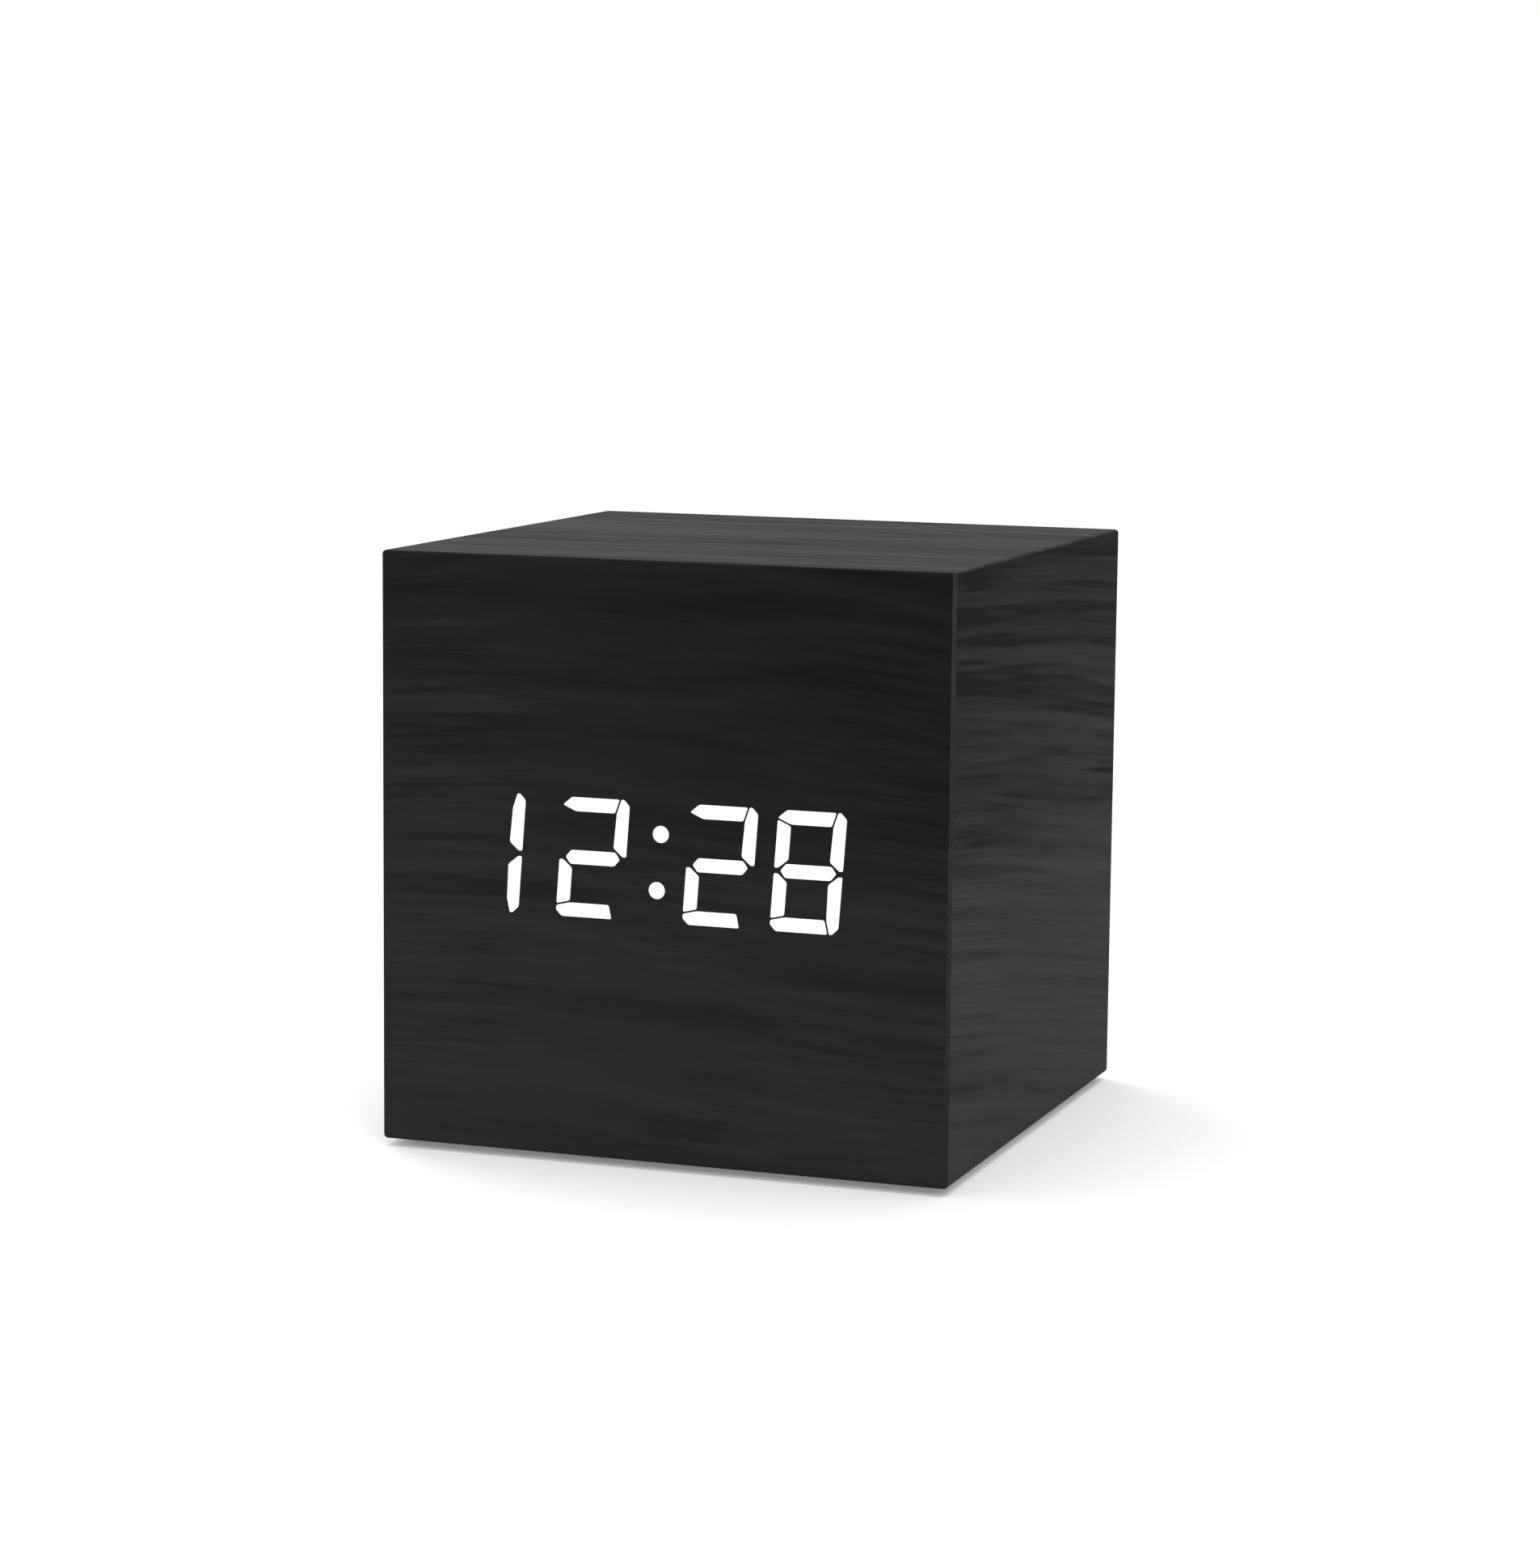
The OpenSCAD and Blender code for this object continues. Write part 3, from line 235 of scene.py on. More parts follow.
def makeRolledMetal():
    inputs = {"Vector": None, "Along": 90.0, "Across": 4200.0}
    group, given, result = newGroup("rolledMetal", inputs, ("Tone", "Height", "Dull"))
    factors = (given["Along"], given["Across"], given["Across"])
    drawn = stretched(parted(given["Vector"]), factors)
    lines = noise(drawn, 1.0, rolledLook["detail"], rolledLook["roughness"])
    spots = noise(given["Vector"], rolledLook["spots"], rolledLook["detail"])
    feed(result, Tone=spread(lines, *noiseSpan), Height=lines,
         Dull=spread(spots, *rolledLook["spotEdge"]))
    return group


woodGrain, mouldGrain, rolledMetal = makeWoodGrain(), makeMouldGrain(), makeRolledMetal()
print("shader groups made")


# small helpers for finishes
def newFinish(name, **shaderValues):
    material = bpy.data.materials.new(name)
    material.use_nodes = True
    tree = material.node_tree
    shader = tree.nodes["Principled BSDF"].inputs
    for label, value in shaderValues.items():
        shader[label.replace("_", " ")].default_value = value
    return material, shader, addNode(tree, "ShaderNodeTexCoord").outputs["Object"]


def placeGroup(group, vector, **values):
    return nodeAfter("ShaderNodeGroup", {"Vector": vector, **values}, node_tree=group).outputs


def turnedCoords(coords, turn):
    return outputOf("ShaderNodeMapping", {"Vector": coords, "Rotation": (0, 0, turn)})


def bumped(shader, height, strength, distance):
    inputs = {"Height": height, "Strength": strength, "Distance": distance}
    feed(shader, Normal=outputOf("ShaderNodeBump", inputs))


def colour(red, green, blue):
    return (red, green, blue, 1.0)


def grey(value):
    return colour(value, value, value)


# black wood film; on the two side faces its grain runs along Y
# one copy of the film for each face, its tone level and contrast set as painted light and shade
filmLook = {
    "dark": colour(0.004, 0.004, 0.0041), "light": colour(0.0335, 0.0335, 0.034),
    "gloss": (0.58, 0.5), "ior": 1.065, "relief": 0.16, "depth": 0.06 * mm,
    "front": {"Along": 36.0, "Across": 1000.0, "Wander": 0.006, "Slope": 0.03, "Bow": 26.0,
              "Figure": 0.35, "Level": 0.46, "Fade": 0.35, "Lean": 0.105, "Contrast": 0.52},
    "top": {"Along": 40.0, "Across": 900.0, "Wander": 0.004, "Level": 0.67, "Contrast": 1.65},
    "left": {"Along": 26.0, "Across": 1300.0, "Wander": 0.005, "Slope": 0.03, "Figure": 0.5,
             "Level": 0.65, "Fade": 0.44, "Contrast": 0.87},
    "right": {"Along": 15.0, "Across": 1300.0, "Wander": 0.002, "Slope": 0.21, "Fan": -2.1,
              "Figure": 1.0, "Level": 0.755, "Fade": 0.57, "Contrast": 1.05},
    # the front's upright rounded edges: a painted highlight, paler towards the top
    "edge": {"Along": 26.0, "Across": 1300.0, "Level": 0.74, "Fade": -0.35, "Contrast": 0.6},
}
filmTurns = {"front": 0.0, "top": 0.0, "left": -quarterTurn, "right": -quarterTurn,
             "edge": -quarterTurn}


def filmFinish(side, turn):
    material, shader, coords = newFinish(side + "Film", IOR=filmLook["ior"])
    wood = placeGroup(woodGrain, turnedCoords(coords, turn), **filmLook[side])
    feed(shader, Base_Color=mixColour(wood["Tone"], filmLook["dark"], filmLook["light"]),
         Roughness=ramp(wood["Tone"], filmLook["gloss"]))
    bumped(shader, wood["Height"], filmLook["relief"], filmLook["depth"])
    return material


litAndShadedFilms = [filmFinish(side, turn) for side, turn in filmTurns.items()]

# light that comes through the clear windows, a little uneven
windowLook = {"mottle": 700.0, "detail": 1.0, "edge": (0.35, 0.65),
              "light": (colour(0.86, 0.87, 0.88), grey(0.92)), "film": (grey(0.14), grey(0.18))}


def windowFinish():
    material, shader, coords = newFinish("litWindow", Roughness=0.45, Emission_Strength=1.0)
    mottle = noise(coords, windowLook["mottle"], windowLook["detail"])
    glow = spread(mottle, *windowLook["edge"])
    feed(shader, Emission_Color=mixColour(glow, *windowLook["light"]),
         Base_Color=mixColour(glow, *windowLook["film"]))
    return material


# moulded plastics and rubber, from one recipe: dark, light, gloss, pits, relief
mouldedLooks = {
    "backPlastic": (grey(0.0105), grey(0.0165), (0.5, 0.6), 5200.0, 0.35),
    "buttonPlastic": (grey(0.02), grey(0.028), (0.36, 0.46), 8000.0, 0.12),
    "footFoam": (grey(0.01), grey(0.022), (0.85, 0.95), 3200.0, 0.6),
    "blackEpoxy": (grey(0.011), grey(0.018), (0.5, 0.62), 9000.0, 0.2),
    "whiteHousing": (colour(0.7, 0.7, 0.67), colour(0.8, 0.8, 0.78), (0.5, 0.6), 4200.0, 0.15),
    "milkySheet": (colour(0.72, 0.75, 0.78), colour(0.82, 0.84, 0.86), (0.4, 0.5), 6000.0, 0.1),
    "milkyResin": (colour(0.8, 0.79, 0.7), colour(0.9, 0.89, 0.8), (0.2, 0.3), 2400.0, 0.05),
    "nylon": (colour(0.66, 0.65, 0.6), colour(0.76, 0.75, 0.71), (0.45, 0.55), 5200.0, 0.15),
    "creamNylon": (colour(0.68, 0.64, 0.53), colour(0.78, 0.75, 0.65), (0.42, 0.52), 5200.0, 0.15),
    "capacitorSleeve": (colour(0.012, 0.02, 0.09), colour(0.02, 0.034, 0.14), (0.25, 0.35), 3000.0,
                        0.05),
    "ribbonVinyl": (colour(0.3, 0.31, 0.34), colour(0.38, 0.39, 0.42), (0.45, 0.55), 4000.0, 0.1),
    "redVinyl": (colour(0.36, 0.008, 0.008), colour(0.48, 0.014, 0.012), (0.35, 0.45), 4000.0,
                 0.08),
    "blackVinyl": (grey(0.008), grey(0.014), (0.35, 0.45), 4000.0, 0.08),
    "jacketGreen": (colour(0.012, 0.06, 0.03), colour(0.018, 0.085, 0.045), (0.22, 0.3), 1800.0,
                    0.04),
    "jacketGold": (colour(0.42, 0.25, 0.06), colour(0.5, 0.31, 0.09), (0.2, 0.28), 1800.0, 0.04),
}
pitDepth = 0.05 * mm


def mouldedFinish(name):
    dark, light, gloss, pits, relief = mouldedLooks[name]
    material, shader, coords = newFinish(name, Specular_IOR_Level=0.4)
    mould = placeGroup(mouldGrain, coords, Pits=pits)
    feed(shader, Base_Color=mixColour(mould["Tone"], dark, light),
         Roughness=ramp(mould["Gloss"], gloss))
    bumped(shader, mould["Height"], relief, pitDepth)
    return material


# metals, from one recipe: dark, light, gloss, relief
metalLooks = {
    "zincSteel": (grey(0.42), grey(0.56), (0.25, 0.42), 0.1),
    "blackSteel": (grey(0.03), grey(0.07), (0.3, 0.5), 0.15),
    "drawnCan": (grey(0.5), grey(0.64), (0.2, 0.34), 0.08),
    "nickelPlate": (colour(0.52, 0.5, 0.46), colour(0.66, 0.64, 0.6), (0.2, 0.36), 0.08),
    "socketSteel": (grey(0.52), grey(0.66), (0.16, 0.3), 0.06),
    "goldContact": (colour(0.6, 0.42, 0.14), colour(0.72, 0.52, 0.2), (0.16, 0.26), 0.05),
}
lineDepth = 0.02 * mm


def metalFinish(name):
    dark, light, gloss, relief = metalLooks[name]
    material, shader, coords = newFinish(name, Metallic=1.0)
    metal = placeGroup(rolledMetal, coords)
    feed(shader, Base_Color=mixColour(metal["Tone"], dark, light),
         Roughness=ramp(metal["Dull"], gloss))
    bumped(shader, metal["Height"], relief, lineDepth)
    return material


# bare woods inside the case; the fibreboard's rear rim is sprayed black where it shows
timberLooks = {
    "fibreboard": {"dark": colour(0.2, 0.135, 0.08), "light": colour(0.33, 0.235, 0.15),
                   "grain": {"Along": 900.0, "Across": 2600.0, "Wander": 0.0},
                   "sprayed": (26.8 * mm, 27.2 * mm), "spray": grey(0.008)},
    "softwood": {"dark": colour(0.42, 0.27, 0.14), "light": colour(0.62, 0.45, 0.27),
                 "grain": {"Along": 60.0, "Across": 1300.0, "Wander": 0.002}},
}
timberCut = {"gloss": (0.8, 0.65), "relief": 0.3, "depth": 0.08 * mm}


def timberFinish(name):
    look = timberLooks[name]
    material, shader, coords = newFinish(name, Specular_IOR_Level=0.3)
    wood = placeGroup(woodGrain, turnedCoords(coords, -quarterTurn), **look["grain"])
    base = mixColour(wood["Tone"], look["dark"], look["light"])
    if "sprayed" in look:
        rear = spread(parted(coords)["Y"], *look["sprayed"])
        base = mixColour(rear, base, look["spray"])
    feed(shader, Base_Color=base, Roughness=ramp(wood["Tone"], timberCut["gloss"]))
    bumped(shader, wood["Height"], timberCut["relief"], timberCut["depth"])
    return material


# green circuit board: copper tracks under lacquer, which step aside and turn upright here and
# there, and tinned dots
boardLook = {"lacquer": colour(0.006, 0.055, 0.022), "track": colour(0.014, 0.105, 0.042),
             "tin": grey(0.55), "pitch": 560.0, "areas": 90.0, "step": 0.14,
             "sidesteps": (9.0, 7.0), "trackEdge": (0.2, 0.24), "dots": 330.0,
             "dotEdge": (0.12, 0.16), "gloss": (0.42, 0.34), "relief": 0.3, "depth": 0.03 * mm}


def boardFinish():
    look = boardLook
    material, shader, coords = newFinish("circuitBoard", Coat_Weight=0.35, Coat_Roughness=0.15)
    areas = noise(coords, look["areas"], 0.0)
    stepped = calc("SNAP", areas, look["step"])
    parts = parted(coords)
    waves = []
    for axis, sidestep in zip("XZ", look["sidesteps"]):
        run = times(parts[axis], look["pitch"])
        waves.append(calc("FRACT", plus(run, times(stepped, sidestep))))
    level = calc("GREATER_THAN", areas, noiseMean)
    wave = plus(*scaled(waves, (level, minus(1.0, level))))
    off = calc("ABSOLUTE", minus(wave, 0.5))
    track = spread(off, *look["trackEdge"], 1.0, 0.0)
    cells = nodeAfter("ShaderNodeTexVoronoi", {"Vector": coords, "Scale": look["dots"]})
    dots = spread(cells.outputs["Distance"], *look["dotEdge"], 1.0, 0.0)
    green = mixColour(track, look["lacquer"], look["track"])
    feed(shader, Base_Color=mixColour(dots, green, look["tin"]), Metallic=dots,
         Roughness=ramp(track, look["gloss"]))
    bumped(shader, plus(track, dots), look["relief"], look["depth"])
    return material


# black parts with tinned pins or ends above and below: node, half the body's height, dark, light
pinnedLooks = {
    "microcontrollerChip": ("microcontroller", 3.75 * mm, grey(0.011), grey(0.0165)),
    "driverChip": ("led_driver", 1.95 * mm, grey(0.011), grey(0.0165)),
    "resistorChip": ("chip_resistors", 0.65 * mm, grey(0.012), grey(0.018)),
}
pinLook = {"pits": 7000.0, "tin": grey(0.6), "edge": 0.02 * mm, "gloss": (0.55, 0.3),
           "relief": 0.15, "depth": 0.03 * mm}


def pinnedFinish(name):
    node, halfBody, dark, light = pinnedLooks[name]
    low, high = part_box(node)
    material, shader, coords = newFinish(name, Specular_IOR_Level=0.4)
    mould = placeGroup(mouldGrain, coords, Pits=pinLook["pits"])
    away = calc("ABSOLUTE", minus(parted(coords)["Z"], (low.z + high.z) / 2))
    pins = spread(away, halfBody - pinLook["edge"], halfBody + pinLook["edge"])
    black = mixColour(mould["Tone"], dark, light)
    feed(shader, Base_Color=mixColour(pins, black, pinLook["tin"]), Metallic=pins,
         Roughness=ramp(pins, pinLook["gloss"]))
    bumped(shader, mould["Height"], pinLook["relief"], pinLook["depth"])
    return material


# light-emitting chips, of yellow phosphor
phosphorLook = {"dark": colour(0.75, 0.6, 0.12), "light": colour(0.9, 0.8, 0.4), "specks": 6000.0,
                "edge": (0.35, 0.65), "relief": 0.1, "depth": 0.02 * mm}


def phosphorFinish():
    look = phosphorLook
    material, shader, coords = newFinish("ledChip", Roughness=0.3)
    speck = spread(noise(coords, look["specks"]), *look["edge"])
    feed(shader, Base_Color=mixColour(speck, look["dark"], look["light"]))
    bumped(shader, speck, look["relief"], look["depth"])
    return material


finishes = {name: mouldedFinish(name) for name in mouldedLooks}
finishes.update({name: metalFinish(name) for name in metalLooks})
finishes.update({name: timberFinish(name) for name in timberLooks})
finishes.update({name: pinnedFinish(name) for name in pinnedLooks})
finishes.update(circuitBoard=boardFinish(), litWindow=windowFinish(), ledChip=phosphorFinish())
print("finishes made:", len(finishes) + len(litAndShadedFilms))

# CAD nodes that show as they are
finishNodes = {
    "fibreboard": ("front_board", "top_board", "bottom_board", "left_board", "right_board"),
    "softwood": ("corner_blocks",), "litWindow": ("lit_segments",),
    "milkySheet": ("diffuser_sheet",), "whiteHousing": ("reflector_housing",),
    "milkyResin": ("segment_lenses",), "ledChip": ("segment_leds",),
    "circuitBoard": ("main_pcb", "key_pcb"), "nylon": ("pcb_spacers",),
    "zincSteel": ("pcb_screws", "key_pcb_screws"), "creamNylon": ("cable_plugs",),
    "microcontrollerChip": ("microcontroller",), "driverChip": ("led_driver",),
    "resistorChip": ("chip_resistors",), "capacitorSleeve": ("capacitors",),
    "drawnCan": ("crystal", "coin_cell"), "backPlastic": ("battery_tray",),
    "blackEpoxy": ("buzzer", "coin_cell_holder", "switch_bases", "usb_insert"),
    "nickelPlate": ("coin_cell_clip", "switch_covers", "contact_plates"),
    "buttonPlastic": ("set_plunger", "up_plunger", "down_plunger"),
}
for finish, nodes in finishNodes.items():
    for node in nodes:
        for holder in cadNodes[node].material_slots:
            holder.material = finishes[finish]


# small helpers for pieces made here
def addPiece(name, bm, materials):
    mesh = bpy.data.meshes.new(name)
    bm.to_mesh(mesh)
    bm.free()
    piece = bpy.data.objects.new(name, mesh)
    bpy.context.scene.collection.objects.link(piece)
    for material in materials:
        mesh.materials.append(material)
    return piece


def crease(piece, degrees):
    piece.data.set_sharp_from_angle(angle=math.radians(degrees))


def settle(piece, body, slot, *stoodFor):
    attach(piece, body)
    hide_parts(*stoodFor)


# outlines of a CAD node's faces that look towards -Y, as loops of (x, z)
def frontOutlines(node):
    mesh = cadNodes[node].data
    spots = [(round(v.co.x / weld) * weld, round(v.co.z / weld) * weld) for v in mesh.vertices]
    edges = {}
    for face in mesh.polygons:
        if face.normal.y < -facing:
            corners = [spots[index] for index in face.vertices]
            for a, b in zip(corners, corners[1:] + corners[:1]):
                if (b, a) in edges:  # two faces share it
                    del edges[(b, a)]
                else:
                    edges[(a, b)] = True
    after = dict(edges.keys())
    loops = []
    while after:
        start, point = next(iter(after.items()))
        loop = [start]
        del after[start]
        while point != start:
            loop.append(point)
            point = after.pop(point)
        loops.append(loop)
    return loops


# the film: one closed skin with rounded edges, turned over the rear rim, and the lit windows cut
# in it; round the front's upright edges, where the normals turn far enough from the front towards a
# side, it is painted paler, a painted highlight
filmSkin = {"longEdge": 0.45 * mm, "frontEdge": 0.48 * mm, "rearEdge": 0.3 * mm,
            "rimEdge": 0.2 * mm, "steps": 5, "support": 0.03 * mm, "sharp": 40.0,
            "paintedHighlightX": 0.2, "paintedHighlightY": 0.1}


def filmSide(normal):
    across, along, up = (abs(part) for part in normal)
    # normals turning from the front to a side get the painted highlight
    if normal.y < -filmSkin["paintedHighlightY"] and across > filmSkin["paintedHighlightX"]:
        return "edge"
    if across > max(along, up):
        return "right" if normal.x > 0 else "left"
    return "top" if up > along else "front"


def makeFilmSkin():
    low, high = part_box("front_film")
    film = high.y - low.y
    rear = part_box("wrap_film")[1].y
    wall = high.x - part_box("corner_blocks")[1].x
    steps, hold = filmSkin["steps"], filmSkin["support"]

    def ring(inset, y):
        radius = max(filmSkin["longEdge"] - inset, 0.0)
        points = []
        for turn, (x, z) in enumerate(((1, 1), (-1, 1), (-1, -1), (1, -1))):
            cornerX = (high.x - inset - radius) * x
            cornerZ = (high.z - inset - radius) if z > 0 else (low.z + inset + radius)
            first, last = turn * quarterTurn, (turn + 1) * quarterTurn
            arc = [first + (last - first) * k / steps for k in range(steps + 1)]
            bend = [Vector((cornerX + radius * math.cos(a), y, cornerZ + radius * math.sin(a)))
                    for a in arc]
            before = Vector((math.sin(first), 0, -math.cos(first))) * hold
            after = Vector((-math.sin(last), 0, math.cos(last))) * hold
            points += [bend[0] + before, *bend, bend[-1] + after]
        return points

    def quarter(inset0, y0, inset1, y1, squareFirst):
        arc = [quarterTurn * k / steps for k in range(steps + 1)]
        shares = [(math.sin(a), 1 - math.cos(a)) for a in arc]
        if not squareFirst:  # starts along Y
            shares = [(1 - math.cos(a), math.sin(a)) for a in arc]
        return [(inset0 + (inset1 - inset0) * s, y0 + (y1 - y0) * t) for s, t in shares]

    edge, back, rim = filmSkin["frontEdge"], filmSkin["rearEdge"], filmSkin["rimEdge"]
    profile = [(edge + hold, low.y)]
    profile += quarter(edge, low.y, 0.0, low.y + edge, True)
    profile += [(0.0, low.y + edge + hold), (0.0, rear - back - hold)]
    profile += quarter(0.0, rear - back, back, rear, False)
    profile += [(back + hold, rear), (wall - rim - hold, rear)]
    profile += quarter(wall - rim, rear, wall, rear - rim, True)
    profile += [(wall, rear - film), (film, rear - film), (film, high.y)]

    bm = bmesh.new()
    rings = [[bm.verts.new(p) for p in ring(inset, y)] for inset, y in profile]
    count = len(rings[0])
    for one, two in zip(rings, rings[1:]):
        for k in range(count):
            bm.faces.new((one[k], one[(k + 1) % count], two[(k + 1) % count], two[k]))
    bmesh.ops.remove_doubles(bm, verts=bm.verts, dist=weld)
    frontEdges = [e for e in bm.edges if e.is_boundary and e.verts[0].co.y < low.y + film / 2]
    backEdges = [e for e in bm.edges if e.is_boundary and e not in frontEdges]
    for loop in frontOutlines("lit_segments"):
        outer = [bm.verts.new((x, low.y, z)) for x, z in loop]
        inner = [bm.verts.new((x, high.y, z)) for x, z in loop]
        for k in range(len(loop)):
            following = (k + 1) % len(loop)
            bm.faces.new((outer[k], outer[following], inner[following], inner[k]))
            frontEdges.append(bm.edges.get((outer[k], outer[following])))
            backEdges.append(bm.edges.get((inner[k], inner[following])))
    for edges, way in ((frontEdges, -1), (backEdges, 1)):
        bmesh.ops.triangle_fill(bm, edges=edges, use_beauty=True, normal=(0, way, 0))
    bmesh.ops.recalc_face_normals(bm, faces=bm.faces)
    bm.normal_update()
    sides = list(filmTurns)
    for face in bm.faces:
        face.material_index = sides.index(filmSide(face.normal))
        face.smooth = True
    skin = addPiece("filmSkin", bm, litAndShadedFilms)
    crease(skin, filmSkin["sharp"])
    return skin


settle(makeFilmSkin(), "case", "wood_film", "front_film", "wrap_film")
print("film skin made")

# a CAD node's shape with its sharp outer edges broken, as a mould leaves them; angles in degrees
brokenEdge = {"steps": 3, "sharp": 40.0, "curved": 1.0, "flat": 0.6, "weld": 0.002 * mm}


def softened(name, node, width, finish):
    sharp, curved, flat = (math.radians(brokenEdge[k]) for k in ("sharp", "curved", "flat"))
    bm = bmesh.new()
    bm.from_mesh(cadNodes[node].data)
    bmesh.ops.remove_doubles(bm, verts=bm.verts, dist=brokenEdge["weld"])
    bmesh.ops.dissolve_limit(bm, angle_limit=flat, verts=bm.verts, edges=bm.edges)
    bm.normal_update()
    for face in bm.faces:
        face.smooth = any(curved < e.calc_face_angle(0.0) < sharp for e in face.edges)
        face.material_index = 0
    edges = [e for e in bm.edges
             if len(e.link_faces) == 2 and e.is_convex and e.calc_face_angle(0.0) > sharp]
    made = bmesh.ops.bevel(bm, geom=edges, offset=width, offset_type="OFFSET", affect="EDGES",
                           segments=brokenEdge["steps"], profile=0.5, clamp_overlap=True,
                           material=-1)
    for face in made["faces"]:
        face.smooth = True
    bmesh.ops.remove_doubles(bm, verts=bm.verts, dist=weld)
    bm.normal_update()
    return addPiece(name, bm, [finish])


# CAD node, width of the broken edge, finish, body, slot
softenedPieces = {
    "panelShell": ("back_panel", 0.16 * mm, "backPlastic", "case", "back_plastic"),
    "doorShell": ("battery_door", 0.12 * mm, "backPlastic", "door", "back_plastic"),
    "latchLeaf": ("door_latch", 0.08 * mm, "backPlastic", "door", "back_plastic"),
    "setCap": ("set_button", 0.07 * mm, "buttonPlastic", "set_key", "button_plastic"),
    "upCap": ("up_button", 0.07 * mm, "buttonPlastic", "up_key", "button_plastic"),
    "downCap": ("down_button", 0.07 * mm, "buttonPlastic", "down_key", "button_plastic"),
    "socketShell": ("usb_shell", 0.06 * mm, "socketSteel", "case", "socket_steel"),
}
for name, (node, width, finish, body, slot) in softenedPieces.items():
    settle(softened(name, node, width, finishes[finish]), body, slot, node)
print("moulded pieces made:", len(softenedPieces))


# a turned shape: profile of (radius, height, finish number) about an axis through middle
def turnedShape(profile, middle, axis, sides):
    bm = bmesh.new()
    turn = Vector(axis).to_track_quat("Z", "Y")
    angles = [math.tau * k / sides for k in range(sides)]
    rings = []
    for radius, height, _ in profile:
        points = [Vector((radius * math.cos(a), radius * math.sin(a), height))
                  for a in (angles if radius > 0 else angles[:1])]
        rings.append([bm.verts.new(Vector(middle) + turn @ p) for p in points])
    for one, two, (_, _, finish) in zip(rings, rings[1:], profile[1:]):
        for k in range(sides):
            corners = [one[k % len(one)], one[(k + 1) % len(one)],
                       two[(k + 1) % len(two)], two[k % len(two)]]
            unique = list(dict.fromkeys(corners))
            if len(unique) > 2:
                face = bm.faces.new(unique)
                face.material_index = finish
                face.smooth = True
    bmesh.ops.recalc_face_normals(bm, faces=bm.faces)
    return bm


# geometry node trees for what repeats or follows a path
def newTree(name, sockets):
    tree = bpy.data.node_groups.new(name, "GeometryNodeTree")
    tree.is_modifier = True
    for label, kind in {"Geometry": "Geometry", **sockets, "Finish": "Material"}.items():
        tree.interface.new_socket(label, in_out="INPUT", socket_type="NodeSocket" + kind)
    tree.interface.new_socket("Geometry", in_out="OUTPUT", socket_type="NodeSocketGeometry")
    return tree, *terminals(tree)


def shaped(kind, inputs):
    return outputOf("GeometryNode" + kind, inputs)


def moved(geometry, by, turn=(0, 0, 0)):
    inputs = {"Geometry": geometry, "Translation": by, "Rotation": turn}
    return shaped("Transform", inputs)


def onPoints(points, piece, turn=(0, 0, 0)):
    inputs = {"Points": points, "Instance": piece, "Rotation": turn}
    return shaped("InstanceOnPoints", inputs)


# points along X, about the origin
def pointRow(count, pitch):
    reach = times(pitch, minus(count, 1.0))
    start = joined({0: times(reach, -0.5)})
    inputs = {"Count": count, "Start Location": start, "Offset": joined({0: pitch})}
    return shaped("MeshLine", inputs)


def tube(path, radius, sides):
    ring = shaped("CurvePrimitiveCircle", {"Resolution": sides, "Radius": radius})
    inputs = {"Curve": path, "Profile Curve": ring, "Fill Caps": True}
    return shaped("CurveToMesh", inputs)


def smoothed(geometry):
    return shaped("SetShadeSmooth", {"Geometry": geometry})


def closeTree(tree, geometry, finish, result):
    real = shaped("RealizeInstances", {"Geometry": geometry})
    feed(result, Geometry=shaped("SetMaterial", {"Geometry": real, "Material": finish}))
    return tree


def runTree(name, tree, values, start=None):
    holder = bpy.data.objects.new(name, start or bpy.data.meshes.new(name))
    bpy.context.scene.collection.objects.link(holder)
    maker = holder.modifiers.new("maker", "NODES")
    maker.node_group = tree
    for item in tree.interface.items_tree:
        if item.in_out == "INPUT" and item.name in values:
            maker[item.identifier] = values[item.name]
    bpy.context.view_layer.update()
    graph = bpy.context.evaluated_depsgraph_get()
    made = bpy.data.meshes.new_from_object(holder.evaluated_get(graph),
                                           preserve_all_data_layers=True, depsgraph=graph)
    holder.modifiers.clear()
    holder.data = made
    made.name = name
    return holder


# four of one piece at the corners of a rectangle
def makeCornerTree():
    sockets = {"Piece": "Object", "Width": "Float", "Height": "Float", "Tilt": "Vector",
               "Middle": "Vector"}
    tree, given, result = newTree("cornerSet", sockets)
    inputs = {"Size X": given["Width"], "Size Y": given["Height"], "Vertices X": 2, "Vertices Y": 2}
    grid = shaped("MeshGrid", inputs)
    corners = moved(grid, given["Middle"], given["Tilt"])
    piece = nodeAfter("GeometryNodeObjectInfo", {"Object": given["Piece"]}).outputs["Geometry"]
    return closeTree(tree, onPoints(corners, piece), given["Finish"], result)


# conical springs on points; each point's way says to which side its spring runs
def makeSpringTree():
    sockets = {"Turns": "Float", "Base Radius": "Float", "Tip Radius": "Float", "Length": "Float",
               "Wire": "Float", "Steps": "Int", "Sides": "Int"}
    tree, given, result = newTree("springSet", sockets)
    inputs = {"Resolution": given["Steps"], "Rotations": given["Turns"],
              "Start Radius": given["Base Radius"], "End Radius": given["Tip Radius"],
              "Height": minus(given["Length"], given["Wire"])}
    half = times(given["Wire"], 0.5)
    coil = tube(shaped("CurveSpiral", inputs), half, given["Sides"])
    raised = moved(coil, joined({2: half}))
    way = addNode(tree, "GeometryNodeInputNamedAttribute", {"Name": "way"}, data_type="FLOAT")
    turn = joined({1: times(way.outputs[0], quarterTurn)})
    springs = smoothed(onPoints(given["Geometry"], raised, turn))
    return closeTree(tree, springs, given["Finish"], result)


